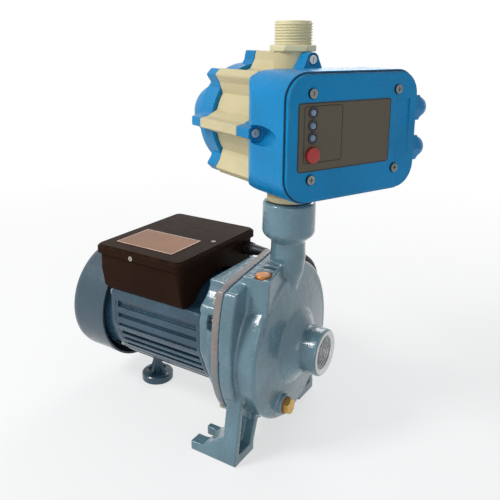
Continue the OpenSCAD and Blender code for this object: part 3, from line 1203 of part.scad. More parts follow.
pump_casing();
casing_gasket();
motor_bracket();
casing_bolts();
impeller();
impeller_nut();
impeller_key();
seal_head();
seal_seat();
shaft();
front_bearing();
rear_bearing();
shaft_slinger();
rotor_core();
stator_core();
windings();
motor_frame();
rear_endshield();
tie_bolts();
cooling_fan();
fan_cover();
fan_cover_screws();
motor_foot();
motor_foot_bolt();
terminal_box();
terminal_box_lid();
lid_screws();
rating_plate();
capacitor();
terminal_block();
cord_gland();
mains_cord();
cord_coil();
cord_tie();
mains_plug();
priming_plug();
priming_washer();
drain_plug();
drain_washer();
control_body();
back_cap();
ear_screws();
diaphragm();
pressure_piston();
pressure_spring();
control_housing();
control_lid();
lid_seal();
control_lid_screws();
control_label();
lamp_bezels();
lamp_lenses();
reset_button();
circuit_board();
cable_glands();
flow_valve();
valve_spring();
valve_guide();
outlet_nipple();
inlet_seal();
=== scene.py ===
from math import cos, floor, hypot, pi, radians, sin

import bmesh
import bpy
from mathutils import Matrix, Vector


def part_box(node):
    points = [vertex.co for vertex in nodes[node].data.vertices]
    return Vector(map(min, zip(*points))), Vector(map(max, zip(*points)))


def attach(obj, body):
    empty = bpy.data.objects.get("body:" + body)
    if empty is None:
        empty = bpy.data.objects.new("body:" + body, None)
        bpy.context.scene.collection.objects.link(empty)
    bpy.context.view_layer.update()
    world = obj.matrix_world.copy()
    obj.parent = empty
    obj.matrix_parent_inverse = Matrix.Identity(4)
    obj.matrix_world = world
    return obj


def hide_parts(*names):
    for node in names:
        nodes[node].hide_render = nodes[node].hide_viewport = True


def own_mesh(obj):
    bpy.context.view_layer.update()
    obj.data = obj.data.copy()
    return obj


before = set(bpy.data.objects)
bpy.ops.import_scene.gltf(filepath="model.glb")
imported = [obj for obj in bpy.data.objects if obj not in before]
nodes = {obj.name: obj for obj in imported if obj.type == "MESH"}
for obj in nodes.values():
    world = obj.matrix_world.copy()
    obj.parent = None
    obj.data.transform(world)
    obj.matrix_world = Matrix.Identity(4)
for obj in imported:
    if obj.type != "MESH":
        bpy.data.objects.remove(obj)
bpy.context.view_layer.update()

# Camera
# It stands on the pump's near side, ahead of the suction port and almost as high as the outlet, and looks
# down a little. Its place was solved from the photograph's ellipses and parallel edges.
turn, tilt, roll = radians(31.73), radians(13.15), radians(0.6)
aim = Vector((-0.05425, 0.09769, 0.2198))
distance = 0.6871
sensor_mm = 36
photo_px = 500
focal_px = 603.65
middle_px = (251.46, 179.79)
ahead = Vector((-sin(turn) * cos(tilt), cos(turn) * cos(tilt), -sin(tilt)))
level = Vector((cos(turn), sin(turn), 0))
upward = level.cross(ahead)
right = level * cos(roll) + upward * sin(roll)
above = upward * cos(roll) - level * sin(roll)
camera = bpy.data.objects.new("camera", bpy.data.cameras.new("camera"))
camera.matrix_world = Matrix((right, above, -ahead)).transposed().to_4x4()
camera.location = aim - ahead * distance
camera.data.sensor_width = sensor_mm
camera.data.lens = focal_px / photo_px * sensor_mm
camera.data.shift_x = (photo_px / 2 - middle_px[0]) / photo_px
camera.data.shift_y = (middle_px[1] - photo_px / 2) / photo_px
camera.data.clip_start = 0.01
bpy.context.scene.collection.objects.link(camera)
bpy.context.scene.camera = camera

# Mains cord
# Round black PVC lead of three cores, which leaves the gland in the terminal box and drops over the pump's
# far side. The rest lies in a coil on the floor, held by a black strip, with the moulded plug beside it.


def linear(r, g, b):
    """A colour as a screen shows it, 0 to 255, as the shader wants it."""
    shares = [c / 255 for c in (r, g, b)]
    return tuple(((s + 0.055) / 1.055) ** 2.4 if s > 0.04045 else s / 12.92 for s in shares) + (1.0,)


def node(tree, kind, **sockets):
    """A shader node with these values in its sockets."""
    made = tree.nodes.new(kind)
    for key, value in sockets.items():
        made.inputs[key.replace("_", " ")].default_value = value
    return made


def combine(tree, operation, first, second):
    """One value made of two by this operation."""
    step = tree.nodes.new("ShaderNodeMath")
    step.operation = operation
    tree.links.new(first, step.inputs[0])
    tree.links.new(second, step.inputs[1])
    return step.outputs[0]


def blend_colour(tree, amount, first, second):
    """The first colour going over to the second by amount. Each may be a value or another node's output."""
    mix = tree.nodes.new("ShaderNodeMix")
    mix.data_type = "RGBA"
    for socket, value in ((mix.inputs[0], amount), (mix.inputs[6], first), (mix.inputs[7], second)):
        if isinstance(value, bpy.types.NodeSocket):
            tree.links.new(value, socket)
        else:
            socket.default_value = value
    return mix.outputs[2]


def spread(tree, value, low, high, to_low, to_high):
    """The band from low to high of a value, stretched over another range and held at its ends."""
    band = node(tree, "ShaderNodeMapRange", From_Min=low, From_Max=high, To_Min=to_low, To_Max=to_high)
    tree.links.new(value, band.inputs["Value"])
    return band.outputs["Result"]


def finish(name, colour, rough, metal=0.0, drift=0.1, patch=22, relief=0.1, grain=500, edge=0.4, edge_wear_and_highlight=None,
           tone=None, clear=0.0, depth=0.4, swell=None, sheen=0.5):
    """A finish whose colour drifts in patches and whose gloss and skin vary. Edges are rounded by edge mm.
    edge_wear_and_highlight is the colour that edges go to, partly as rubbed wear and partly as a painted
    highlight along them, tone a second colour in wide patches, and swell a coarse relief (scale, mm).
    sheen is how much an unpolished surface mirrors what is round it."""
    material = bpy.data.materials.new(name)
    material.use_nodes = True
    tree = material.node_tree
    tree.nodes.clear()
    shader = node(tree, "ShaderNodeBsdfPrincipled", Metallic=metal, Coat_Weight=clear, Coat_Roughness=0.08,
                  Specular_IOR_Level=sheen)
    tree.links.new(shader.outputs[0], tree.nodes.new("ShaderNodeOutputMaterial").inputs[0])
    place = tree.nodes.new("ShaderNodeTexCoord").outputs["Object"]

    def clouds(scale, detail=3.0, distort=0.0):
        noise = node(tree, "ShaderNodeTexNoise", Scale=scale, Detail=detail, Distortion=distort)
        tree.links.new(place, noise.inputs["Vector"])
        return noise.outputs[0]

    dark = tuple(c * (1 - drift) for c in colour[:3]) + (1.0,)
    light = tuple(min(1.0, c * (1 + drift)) for c in colour[:3]) + (1.0,)
    patches = spread(tree, clouds(patch, 4.0), 0.35, 0.65, 0.0, 1.0)
    skin = blend_colour(tree, patches, dark, light)
    if tone:
        wide_patches = spread(tree, clouds(patch * 0.35, 2.0), 0.45, 0.62, 0.0, 0.6)
        skin = blend_colour(tree, wide_patches, skin, tone)
    rounding = node(tree, "ShaderNodeBevel", Radius=edge / 1000)
    rounding.samples = 6
    if edge_wear_and_highlight:
        # the rounded surface faces another way than the flat one only along an edge; there the colour goes
        # lighter, partly as rubbed wear and partly as a painted highlight
        facing = tree.nodes.new("ShaderNodeVectorMath")
        facing.operation = "DOT_PRODUCT"
        tree.links.new(rounding.outputs[0], facing.inputs[0])
        tree.links.new(tree.nodes.new("ShaderNodeNewGeometry").outputs["Normal"], facing.inputs[1])
        on_edge = spread(tree, facing.outputs["Value"], 0.80, 0.985, 0.75, 0.0)
        uneven = spread(tree, clouds(90, 3.0), 0.4, 0.6, 0.25, 1.0)
        skin = blend_colour(tree, combine(tree, "MULTIPLY", on_edge, uneven), skin, edge_wear_and_highlight)
    tree.links.new(skin, shader.inputs["Base Color"])
    gloss = spread(tree, clouds(grain * 0.3), 0.3, 0.7, max(0.02, rough - 0.06), rough + 0.08)
    tree.links.new(gloss, shader.inputs["Roughness"])
    bump = node(tree, "ShaderNodeBump", Strength=relief, Distance=depth / 1000)
    tree.links.new(clouds(grain, 2.0), bump.inputs["Height"])
    tree.links.new(rounding.outputs[0], bump.inputs["Normal"])
    if swell:
        swell_scale, swell_mm = swell
        wide = node(tree, "ShaderNodeBump", Strength=1.0, Distance=swell_mm / 1000)
        tree.links.new(clouds(swell_scale, 3.0, 0.4), wide.inputs["Height"])
        tree.links.new(bump.outputs[0], wide.inputs["Normal"])
        bump = wide
    tree.links.new(bump.outputs[0], shader.inputs["Normal"])
    return material


def dress(material, *names):
    """These CAD nodes stay and take this finish."""
    for name in names:
        for s in nodes[name].material_slots:
            s.material = material


cord_d = 0.0075
# the lead's middle line in mm, from the gland to where the coil starts
cord_route = [(-5, 50, 157), (1, 50.1, 157.5), (7, 50.8, 158.4), (14, 52.8, 159.3), (20.5, 56.6, 158.9),
              (26, 62, 156.6), (30.2, 69, 152), (32.7, 76.3, 145), (33.6, 83, 135.5), (33.5, 88.2, 124.5),
              (33, 92, 112), (32, 94.5, 99), (31, 96.5, 86), (30, 98, 73), (28.5, 99, 60), (26, 100, 47.5),
              (22, 100.5, 36), (16.5, 101, 25.5), (9, 101, 16.5), (0, 101, 10), (-10, 101, 6.2),
              (-21, 101, 4.6), (-33, 101, 4.2), (-46, 101, 4.4), (-60, 101, 4.9), (-72, 101.2, 5.3)]
# The coil's strands lie two by two. In the first part of each round the lead moves on a quarter turn round
# the bundle, so that the next strand always finds its place free.
coil_turns = 3.25
coil_steps = 40
coil_x, coil_y = -80, 145
coil_r = 40
coil_start = -90
bundle_r = 5.303
bundle_z = 9.15
bundle_start = -45
move_share = 0.7
for step in range(int(coil_turns * coil_steps) + 1):
    rounds = step / coil_steps
    moved = min(1.0, (rounds - floor(rounds)) / move_share)
    quarter = radians(bundle_start - 90 * (floor(rounds) + moved * moved * (3 - 2 * moved)))
    at = radians(coil_start) - 2 * pi * rounds
    reach = coil_r + bundle_r * cos(quarter)
    height = bundle_z + bundle_r * sin(quarter)
    cord_route.append((coil_x + reach * cos(at), coil_y + reach * sin(at), height))
# from the coil to the plug
cord_route += [(-124.95, 152, 11.8), (-124.6, 160, 14.4), (-124.2, 168, 17.2), (-124, 176, 18.8),
               (-124, 184, 19)]
cord_curve = bpy.data.curves.new("mains_lead", "CURVE")
cord_curve.dimensions = "3D"
cord_curve.bevel_depth = cord_d / 2
cord_curve.bevel_resolution = 5
cord_curve.use_fill_caps = True
# a smooth line through all the points, with short straight steps between each two
smooth_steps = 4
points = [Vector(p) / 1000 for p in cord_route]
line = []
for i in range(len(points) - 1):
    before, first = points[max(i - 1, 0)], points[i]
    second, after = points[i + 1], points[min(i + 2, len(points) - 1)]
    for k in range(smooth_steps):
        f = k / smooth_steps
        line.append(0.5 * (2 * first + (second - before) * f
                           + (2 * before - 5 * first + 4 * second - after) * f * f
                           + (3 * first - before - 3 * second + after) * f ** 3))
line.append(points[-1])
strand = cord_curve.splines.new("POLY")
strand.points.add(len(line) - 1)
for p, q in zip(strand.points, line):
    p.co = (*q, 1)
lead = bpy.data.objects.new("mains_lead", cord_curve)
bpy.context.scene.collection.objects.link(lead)
pvc = finish("cord_pvc", linear(24, 24, 25), 0.42, drift=0.12, patch=40, relief=0.12, grain=900, edge=0.3)
cord_curve.materials.append(pvc)
dress(pvc, "mains_plug", "cord_gland")
dress(finish("tie_strip", linear(30, 30, 31), 0.5, relief=0.2, grain=1200, edge=0.2), "cord_tie")
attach(lead, "pump")
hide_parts("mains_cord", "cord_coil")

# Pump casing
# One grey-iron sand casting with volute, shoulder, feet, suction port and discharge neck. Its soft cast edges
# are a remeshed copy of the solid, under a thick glossy coat of blue-grey enamel.


def cast_copy(name, source, voxel, rounds):
    """A copy of a CAD node with the soft edges that a mould leaves. voxel is in mm, rounds is how often the
    surface is eased."""
    copy = bpy.data.objects.new(name, nodes[source].data.copy())
    bpy.context.scene.collection.objects.link(copy)
    copy.data.materials.clear()
    weld = copy.modifiers.new("weld", "WELD")
    weld.merge_threshold = 1e-6
    cast = copy.modifiers.new("cast", "REMESH")
    cast.mode = "VOXEL"
    cast.voxel_size = voxel / 1000
    soft = copy.modifiers.new("soft", "SMOOTH")
    soft.iterations = rounds
    softened = bpy.data.meshes.new_from_object(copy.evaluated_get(bpy.context.evaluated_depsgraph_get()))
    copy.modifiers.clear()
    copy.data = softened
    copy.data.shade_smooth()
    return copy


enamel = finish("casing_enamel", linear(92, 123, 135), 0.22, drift=0.16, patch=26, relief=0.22, grain=420,
                edge=0.8, edge_wear_and_highlight=linear(134, 156, 166), clear=0.6, depth=0.6, swell=(170, 0.9), sheen=0.35)
casing = cast_copy("casing_cast", "pump_casing", voxel=0.9, rounds=9)
# the suction bore opens to just outside its thread, which is a piece of its own
shaft_z = 0.092
bore_end_x = 0.0702
bore_wall = (0.0135, 0.0171)
open_r = 0.0168
for v in casing.data.vertices:
    out = hypot(v.co.y, v.co.z - shaft_z)
    if v.co.x > bore_end_x and bore_wall[0] < out < bore_wall[1]:
        v.co.y *= open_r / out
        v.co.z = shaft_z + (v.co.z - shaft_z) * open_r / out
casing.data.materials.append(enamel)
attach(casing, "pump")
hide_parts("pump_casing")

# Suction thread
# The port's bore, turned and tapped G 1 after the casing was painted, so that its face, chamfer and thread
# are bare iron.


def grid_mesh(name, rows):
    """A surface through rows of points in mm, each row a closed ring."""
    made = bpy.data.objects.new(name, bpy.data.meshes.new(name))
    bpy.context.scene.collection.objects.link(made)
    count = len(rows[0])
    starts = range(0, (len(rows) - 1) * count, count)
    faces = [(i + k, i + (k + 1) % count, i + count + (k + 1) % count, i + count + k)
             for i in starts for k in range(count)]
    made.data.from_pydata([Vector(p) / 1000 for row in rows for p in row], [], faces)
    b = bmesh.new()
    b.from_mesh(made.data)
    bmesh.ops.recalc_face_normals(b, faces=b.faces)
    b.to_mesh(made.data)
    b.free()
    made.data.shade_smooth()
    return made


thread_pitch = 2.309
thread_major = 16.62
crest_fullness = 0.85


def thread_radius(along, angle, minor):
    """Radius in mm of a V thread with rounded roots and crests at this place."""
    phase = (along / thread_pitch - angle / (2 * pi)) % 1
    return minor + (thread_major - minor) * (0.5 - 0.5 * cos(2 * pi * phase)) ** crest_fullness


def threaded_rows(profile, minor, facets, place):
    """Rings of points round an axis, in mm. profile lists radius and distance along the axis, and the
    radius is None on the thread. place turns distance, angle and radius into a point of the model."""
    rows = []
    for r, along in profile:
        ring = []
        for k in range(facets):
            angle = 2 * pi * k / facets
            out = thread_radius(along, angle, minor) if r is None else r
            ring.append(place(along, angle, out))
        rows.append(ring)
    return rows


port_x = 89.0
suction_depth = 18.4
suction_rings = 57
suction_step = 0.289
suction_profile = [(None, port_x - suction_depth + suction_step * i) for i in range(suction_rings)]
suction_profile += [(15.25, port_x - 2.1), (15.5, port_x - 1.6), (17.2, port_x), (17.3, port_x + 0.06),
                    (17.5, port_x + 0.1), (19.6, port_x + 0.1), (20.3, port_x), (20.5, port_x - 0.3)]


def in_port(x, angle, r):
    """A point of the suction port in mm."""
    return x, r * cos(angle), 1000 * shaft_z + r * sin(angle)


suction = grid_mesh("suction_thread", threaded_rows(suction_profile, minor=15.15, facets=96, place=in_port))
bare_iron = finish("machined_iron", linear(212, 214, 214), 0.3, metal=0.55, drift=0.08, patch=60, relief=0.12,
                   grain=1500, edge=0.15, tone=linear(186, 186, 182), depth=0.15)
suction.data.materials.append(bare_iron)
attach(suction, "pump")

# Casing gasket and bolts
# A rubber-bound paper gasket lies between casing and bracket. Four zinc-plated hexagon bolts, screwed in from
# the motor's side, draw them together.
dress(finish("gasket_paper", linear(42, 44, 45), 0.8, relief=0.3, grain=700, edge=0.1), "casing_gasket")
zinc = finish("zinc_plate", linear(164, 166, 164), 0.24, metal=0.95, drift=0.08, patch=120, relief=0.06,
              grain=1400, edge=0.25, tone=linear(176, 172, 150), depth=0.15)
dress(zinc, "casing_bolts")

# Motor bracket
# Cast-iron lantern between pump and motor, which carries the front bearing and the casing's flange. It is
# painted like the casing, and on the rim beside the gasket a warm pinkish reflection is painted into its
# colour.
bracket = cast_copy("bracket_cast", "motor_bracket", voxel=0.9, rounds=7)
bracket.data.materials.append(enamel)
# A warm pinkish reflection, painted on the outward faces of the rim.
rim_reflection_paint = finish("painted_rim_reflection", linear(134, 122, 118), 0.3, drift=0.12, patch=30, relief=0.2, grain=420,
                    edge=0.5, tone=linear(104, 122, 130), clear=0.3, sheen=0.35)
bracket.data.materials.append(rim_reflection_paint)
rim_rear_x, rim_front_x = 0.0137, 0.0213
rim_r = 0.0755
for face in bracket.data.polygons:
    spot = face.center
    on_rim = rim_rear_x < spot.x < rim_front_x and hypot(spot.y, spot.z - shaft_z) > rim_r
    faces_out = abs(face.normal.x) < 0.4
    if on_rim and faces_out:
        face.material_index = 1
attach(bracket, "pump")
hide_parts("motor_bracket")

# Impeller and shaft seal
# Closed brass impeller, held on the shaft by a key and a nut. Behind it a mechanical seal's carbon ring runs
# on a ceramic seat pressed into the bracket.
dress(finish("cast_brass", linear(186, 152, 88), 0.34, metal=0.9, drift=0.14, patch=50, relief=0.3, grain=600,
             edge=0.4, tone=linear(150, 118, 66)), "impeller")
dress(zinc, "impeller_nut", "impeller_key")
dress(finish("seal_carbon", linear(46, 46, 48), 0.45, relief=0.1, grain=900), "seal_head")
dress(finish("seal_ceramic", linear(228, 226, 218), 0.3, relief=0.05, grain=900), "seal_seat")

# Shaft and bearings
# Turned carbon-steel shaft in two sealed ball bearings, with a rubber slinger that throws off water that
# passes the seal.
steel = finish("bright_steel", linear(178, 180, 184), 0.28, metal=1.0, drift=0.07, patch=80, relief=0.08,
               grain=1600, edge=0.2, depth=0.1)
dress(steel, "shaft", "front_bearing", "rear_bearing")
rubber = finish("black_rubber", linear(30, 30, 31), 0.62, relief=0.15, grain=800, edge=0.3)
dress(rubber, "shaft_slinger")

# Motor iron and windings
# Stacks of stamped electrical steel, pressed on the shaft and into the frame, with coils of enamelled copper
# wire that are laced with tape.
dress(finish("stamped_steel", linear(104, 106, 110), 0.45, metal=0.7, relief=0.25, grain=1100, edge=0.2,
             tone=linear(74, 78, 86)), "rotor_core", "stator_core")
dress(finish("copper_wire", linear(178, 98, 52), 0.36, metal=0.6, drift=0.25, patch=120, relief=0.8,
             grain=900, edge=0.3, depth=0.6), "windings")

# Motor frame and rear shield
# Die-cast aluminium tube with fins below and level ones up to a flat rail on each side, closed by the rear
# shield. Four long tie bolts hold both to the bracket. The enamel is darker and bluer than the casing's.
motor_enamel = finish("motor_enamel", linear(42, 72, 90), 0.27, drift=0.16, patch=24, relief=0.22, grain=420,
                      edge=0.8, edge_wear_and_highlight=linear(96, 124, 138), clear=0.35, depth=0.6, swell=(170, 0.8),
                      sheen=0.35)
dress(motor_enamel, "motor_frame", "rear_endshield")
dress(zinc, "tie_bolts")

# Fan and its cover
# A moulded fan turns on the shaft's tail, inside a pressed-steel cup with slots at its end and a raised band
# at its mouth. The cup is painted smooth and held by two screws.
dress(finish("fan_plastic", linear(38, 40, 42), 0.5, relief=0.15, grain=700, edge=0.4), "cooling_fan")
dress(finish("cover_paint", linear(54, 76, 88), 0.3, drift=0.09, patch=14, relief=0.08, grain=600, edge=0.8,
             edge_wear_and_highlight=linear(104, 126, 136), clear=0.3, depth=0.4, swell=(60, 0.5), sheen=0.35), "fan_cover")
dress(zinc, "fan_cover_screws")

# Motor foot
# A small cast pedestal with four curved ribs, bolted under the frame to hold the motor's end level. It has
# the motor's paint.
dress(motor_enamel, "motor_foot")
dress(zinc, "motor_foot_bolt")

# Terminal box
# Moulded in black-brown thermoplastic, with a deep lid on three screws and an aluminium rating plate on top,
# which is left blank inside its bare edge. The run capacitor and the terminals are inside.
# Its edges are painted lighter, mostly as a highlight along them.
box_plastic = finish("box_plastic", linear(42, 26, 18), 0.3, drift=0.14, patch=16, relief=0.08, grain=520,
                     edge=0.8, edge_wear_and_highlight=linear(84, 66, 54), depth=0.3, sheen=0.02)
dress(box_plastic, "terminal_box", "terminal_box_lid")
dress(zinc, "lid_screws")
dress(finish("capacitor_can", linear(212, 212, 206), 0.4, relief=0.06, grain=500), "capacitor")
dress(finish("terminal_plastic", linear(226, 222, 208), 0.45, relief=0.06, grain=500), "terminal_block")
dress(finish("plate_metal", linear(136, 90, 58), 0.34, metal=0.3, drift=0.08, patch=30, relief=0.04,
             grain=1500, edge=0.3, edge_wear_and_highlight=linear(200, 190, 180), depth=0.08, sheen=0.4), "rating_plate")


def printed_line(name, left, right, low, high, corner, width, place):
    """A thin rounded frame line in mm on a flat face. place turns its two coordinates into a point of the
    model."""
    outline = []
    for u, v, first in ((right, high, 0), (left, high, 90), (left, low, 180), (right, low, 270)):
        across = u - corner if u == right else u + corner
        up = v - corner if v == high else v + corner
        for a in range(first, first + 91, 15):
            outline.append([(across + r * cos(radians(a)), up + r * sin(radians(a)))
                            for r in (corner - width, corner)])
    count = len(outline)
    drawn = bpy.data.objects.new(name, bpy.data.meshes.new(name))
    bpy.context.scene.collection.objects.link(drawn)
    drawn.data.from_pydata([Vector(place(*pair[side])) / 1000 for side in (0, 1) for pair in outline], [],
                           [(k, (k + 1) % count, count + (k + 1) % count, count + k) for k in range(count)])
    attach(drawn, "pump")
    return drawn


plate_low, plate_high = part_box("rating_plate")
plate_gap = 0.4
line_t = 0.05
plate_edge = printed_line("plate_edge_line",
                          left=plate_low[0] * 1000 + plate_gap, right=plate_high[0] * 1000 - plate_gap,
                          low=plate_low[1] * 1000 + plate_gap, high=plate_high[1] * 1000 - plate_gap,
                          corner=1.0, width=0.9, place=lambda x, y: (x, y, plate_high[2] * 1000 + line_t))
bare_edge = finish("plate_bare_edge", linear(206, 186, 168), 0.34, metal=0.5, relief=0.04, grain=900,
                   edge=0.05, depth=0.05)
plate_edge.data.materials.append(bare_edge)

# Priming and drain plugs
# Turned plugs on fibre washers, screwed into the casting: one on the shoulder for filling, and a brass one
# low on the volute for draining.
dress(finish("priming_metal", linear(178, 112, 56), 0.34, metal=0.6, drift=0.14, patch=80, relief=0.12,
             grain=900, edge=0.3), "priming_plug")
dress(finish("fibre", linear(150, 88, 46), 0.7, relief=0.3, grain=900), "priming_washer", "drain_washer")
dress(finish("turned_brass", linear(206, 170, 92), 0.26, metal=0.95, drift=0.1, patch=90, relief=0.08,
             grain=1100, edge=0.25, tone=linear(170, 132, 66)), "drain_plug")

# Control body
# Glass-filled nylon in cream, a drum with ribs for its screws and the water way through it. It stands on the
# discharge over a rubber seal.
nylon = finish("cream_nylon", linear(202, 190, 150), 0.4, drift=0.07, patch=20, relief=0.12, grain=420,
               edge=0.7, tone=linear(192, 178, 136), depth=0.4, swell=(70, 0.4), sheen=0.4)
dress(nylon, "control_body", "valve_guide")
dress(rubber, "inlet_seal")

# Back cap, diaphragm and pressure spring
# A blue moulded cap closes the drum at the back, over a rubber diaphragm, a plastic piston and the steel
# spring that the water pushes against. Eight zinc-plated screws hold cap, drum and housing.
blue = finish("control_blue", linear(8, 124, 180), 0.28, drift=0.1, patch=20, relief=0.1, grain=420, edge=0.9,
              edge_wear_and_highlight=linear(60, 148, 192), tone=linear(10, 130, 184), depth=0.35, swell=(80, 0.4), sheen=0.16)
dress(blue, "back_cap")
dress(rubber, "diaphragm")
piston = finish("piston_plastic", linear(216, 214, 206), 0.42, relief=0.08, grain=500)
dress(piston, "pressure_piston")
dress(zinc, "pressure_spring")
# The ear screws' zinc is painted lighter than the other screws', to make up for the shade in the pockets
# round them.
dress(finish("ear_zinc_painted_lighter", linear(206, 208, 206), 0.3, metal=0.5, drift=0.06, patch=120, relief=0.06,
             grain=1400, edge=0.25, depth=0.15), "ear_screws")

# Flow valve
# A light plastic valve in the water way, which the flow lifts off its seat against a soft steel spring. The
# spring's upper end rests on the guide, so it shortens as the valve rises.
dress(piston, "flow_valve")
valve_spring = bpy.data.objects.new("valve_spring_wire", nodes["valve_spring"].data.copy())
bpy.context.scene.collection.objects.link(valve_spring)
valve_spring.data.materials.clear()
valve_spring.data.materials.append(zinc)
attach(valve_spring, "pump")
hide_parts("valve_spring")
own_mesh(valve_spring)

# Control housing and lid
# Blue moulded ABS, screwed together at four corners over a seal, with the circuit board inside and two glands
# for the leads on its far side.
dress(blue, "control_housing", "control_lid", "cable_glands")
dress(rubber, "lid_seal")
# The lid screws' zinc is painted darker than the other screws', as the shade in the holes they sit in.
dress(finish("lid_screw_zinc_painted_shade", linear(126, 128, 126), 0.2, metal=0.95, drift=0.1, patch=200, relief=0.06,
             grain=1400, edge=0.25, tone=linear(98, 98, 94), depth=0.12), "control_lid_screws")
dress(finish("circuit_board", linear(38, 96, 58), 0.4, relief=0.2, grain=900), "circuit_board")

# Front label, lamps and button
# Printed polyester film in grey-brown, left blank inside its printed frame lines, with three lamps in dark
# bezels and a red button for a fresh start.
dress(finish("label_film", linear(88, 82, 68), 0.34, drift=0.05, patch=12, relief=0.05, grain=700, edge=0.1,
             tone=linear(82, 76, 64), depth=0.1, sheen=0.25), "control_label")
discharge_x = 47
unit_turn = radians(23.8)
film_n = 74.04


def on_front(across, up):
    """A point in mm on the film's face, from its place across the unit's front and above the floor."""
    return (discharge_x + film_n * cos(unit_turn) + across * sin(unit_turn),
            across * cos(unit_turn) - film_n * sin(unit_turn), up)


ink = finish("printing_ink", linear(30, 26, 26), 0.4, relief=0.03, grain=900, edge=0.05, depth=0.05,
             sheen=0.3)
frame_line = printed_line("label_frame_line", left=-46.2, right=-7.5, low=284.0, high=328.0,
                          corner=3.0, width=0.75, place=on_front)
frame_line.data.materials.append(ink)
edge_line = printed_line("label_edge_line", left=-51.4, right=45.4, low=277.7, high=330.2,
                         corner=2.4, width=0.8, place=on_front)
edge_line.data.materials.append(ink)
dress(finish("bezel_plastic", linear(34, 36, 42), 0.34, relief=0.06, grain=700, edge=0.3), "lamp_bezels")
dress(finish("lamp_lens", linear(96, 120, 150), 0.14, drift=0.2, patch=200, relief=0.04, grain=500, edge=0.3,
             clear=0.6), "lamp_lenses")
dress(finish("button_red", linear(166, 40, 36), 0.32, drift=0.08, patch=80, relief=0.06, grain=700, edge=0.5),
      "reset_button")

# Outlet nipple
# Moulded in nylon like the body and set into its neck, with a hexagon to hold it by and a G 1 pipe thread
# above that for the house's pipe.
nipple_foot, nipple_top = 350, 391.5
hexagon_low, hexagon_high = 366, 371.5
hexagon_corner = 20.3
nipple_thread_low = 372.0
nipple_rings = 63
nipple_step = 0.29


def on_nipple(z, angle, r):
    """A point of the nipple in mm. Over the hexagon's height it stays within six sides, turned with the
    unit."""
    if hexagon_low <= z <= hexagon_high:
        side = hexagon_corner * cos(pi / 6) / cos((angle + unit_turn) % (pi / 3) - pi / 6)
        r = min(r, side)
    return discharge_x + r * cos(angle), r * sin(angle), z


nipple_profile = [(12.0, nipple_foot), (13.6, nipple_foot + 0.2), (13.7, hexagon_low - 0.2),
                  (19.2, hexagon_low), (20.6, hexagon_low + 1.0), (20.6, hexagon_high - 1.1),
                  (19.4, hexagon_high), (17.0, hexagon_high + 0.05), (15.6, hexagon_high + 0.3)]
nipple_profile += [(None, nipple_thread_low + nipple_step * i) for i in range(nipple_rings)]
nipple_profile += [(15.6, nipple_top - 1.1), (15.5, nipple_top - 0.3), (15.0, nipple_top), (12.5, nipple_top),
                   (12.1, nipple_top - 0.4), (12.0, nipple_top - 1.0), (12.0, nipple_foot)]
nipple = grid_mesh("outlet_thread", threaded_rows(nipple_profile, minor=15.3, facets=120, place=on_nipple))
# Its nylon is painted lighter than the body's, to cancel the shade between the thread's turns.
nylon_painted_lighter = finish("nylon_painted_lighter", linear(222, 212, 172), 0.4, drift=0.06, patch=20, relief=0.1, grain=420,
                      edge=0.3, depth=0.3, sheen=0.4)
nipple.data.materials.append(nylon_painted_lighter)
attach(nipple, "pump")
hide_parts("outlet_nipple")

# Floor and background
# A pale paper floor that glows more and more white away from the pump and keeps its shadow, in a studio that
# is white to the eye and lights the pump softly from all round.


def seen_directly(tree):
    """1 for what the camera sees, also in a mirror or through glass, and 0 for what only lights the pump."""
    ray = tree.nodes.new("ShaderNodeLightPath")
    seen = combine(tree, "MAXIMUM", ray.outputs["Is Camera Ray"], ray.outputs["Is Glossy Ray"])
    return combine(tree, "MAXIMUM", seen, ray.outputs["Is Transmission Ray"])


def mix_into(tree, output, share, first, second):
    """Two shaders, mixed by share, into a new output node of this kind."""
    both = tree.nodes.new("ShaderNodeMixShader")
    for socket, value in zip(both.inputs, (share, first, second)):
        tree.links.new(value, socket)
    tree.links.new(both.outputs[0], tree.nodes.new(output).inputs[0])


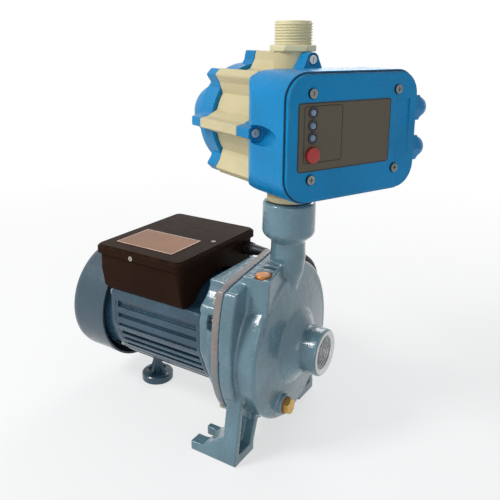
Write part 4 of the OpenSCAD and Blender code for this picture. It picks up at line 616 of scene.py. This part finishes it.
bpy.ops.mesh.primitive_circle_add(vertices=96, radius=4, fill_type="NGON", location=(0, 0, 0))
ground = bpy.context.object
ground.name = "studio_floor"
paper = bpy.data.materials.new("studio_floor")
paper.use_nodes = True
tree = paper.node_tree
tree.nodes.clear()
matt = node(tree, "ShaderNodeBsdfPrincipled", Base_Color=(0.86, 0.86, 0.86, 1), Roughness=0.9)
glow = node(tree, "ShaderNodeEmission", Color=(1, 1, 1, 1), Strength=1.0)
away = node(tree, "ShaderNodeVectorMath")
away.operation = "LENGTH"
tree.links.new(tree.nodes.new("ShaderNodeTexCoord").outputs["Object"], away.inputs[0])
fade_from, fade_to = 0.25, 1.1
least_glow = 0.62
fade = spread(tree, away.outputs["Value"], fade_from, fade_to, least_glow, 1.0)
share = combine(tree, "MULTIPLY", seen_directly(tree), fade)
mix_into(tree, "ShaderNodeOutputMaterial", share, matt.outputs[0], glow.outputs[0])
ground.data.materials.append(paper)

world = bpy.data.worlds.new("studio")
bpy.context.scene.world = world
world.use_nodes = True
tree = world.node_tree
tree.nodes.clear()
soft = node(tree, "ShaderNodeBackground", Color=(0.92, 0.96, 1.0, 1), Strength=0.42)
white = node(tree, "ShaderNodeBackground", Color=(1, 1, 1, 1), Strength=1.0)
mix_into(tree, "ShaderNodeOutputWorld", seen_directly(tree), soft.outputs[0], white.outputs[0])

# Lamps
# Three square studio lamps: a key high on the left of the camera, a weaker fill on its right, and one behind
# the pump for its far edges. Each gives its place, its width in metres and its power in watts.
lamp_aim = Vector((-0.03, 0.0, 0.18))
for name, place, size, power in (("key", (-0.55, -0.75, 1.05), 0.36, 10.0),
                                 ("fill", (0.75, -1.0, 0.5), 0.7, 2.5),
                                 ("back", (-0.3, 1.1, 0.9), 0.6, 5.0)):
    lamp = bpy.data.objects.new(name, bpy.data.lights.new(name, "AREA"))
    lamp.data.size = size
    lamp.data.energy = power
    lamp.location = place
    lamp.rotation_euler = (lamp_aim - Vector(place)).to_track_quat("-Z", "Y").to_euler()
    bpy.context.scene.collection.objects.link(lamp)

bpy.context.scene.view_settings.view_transform = "Standard"
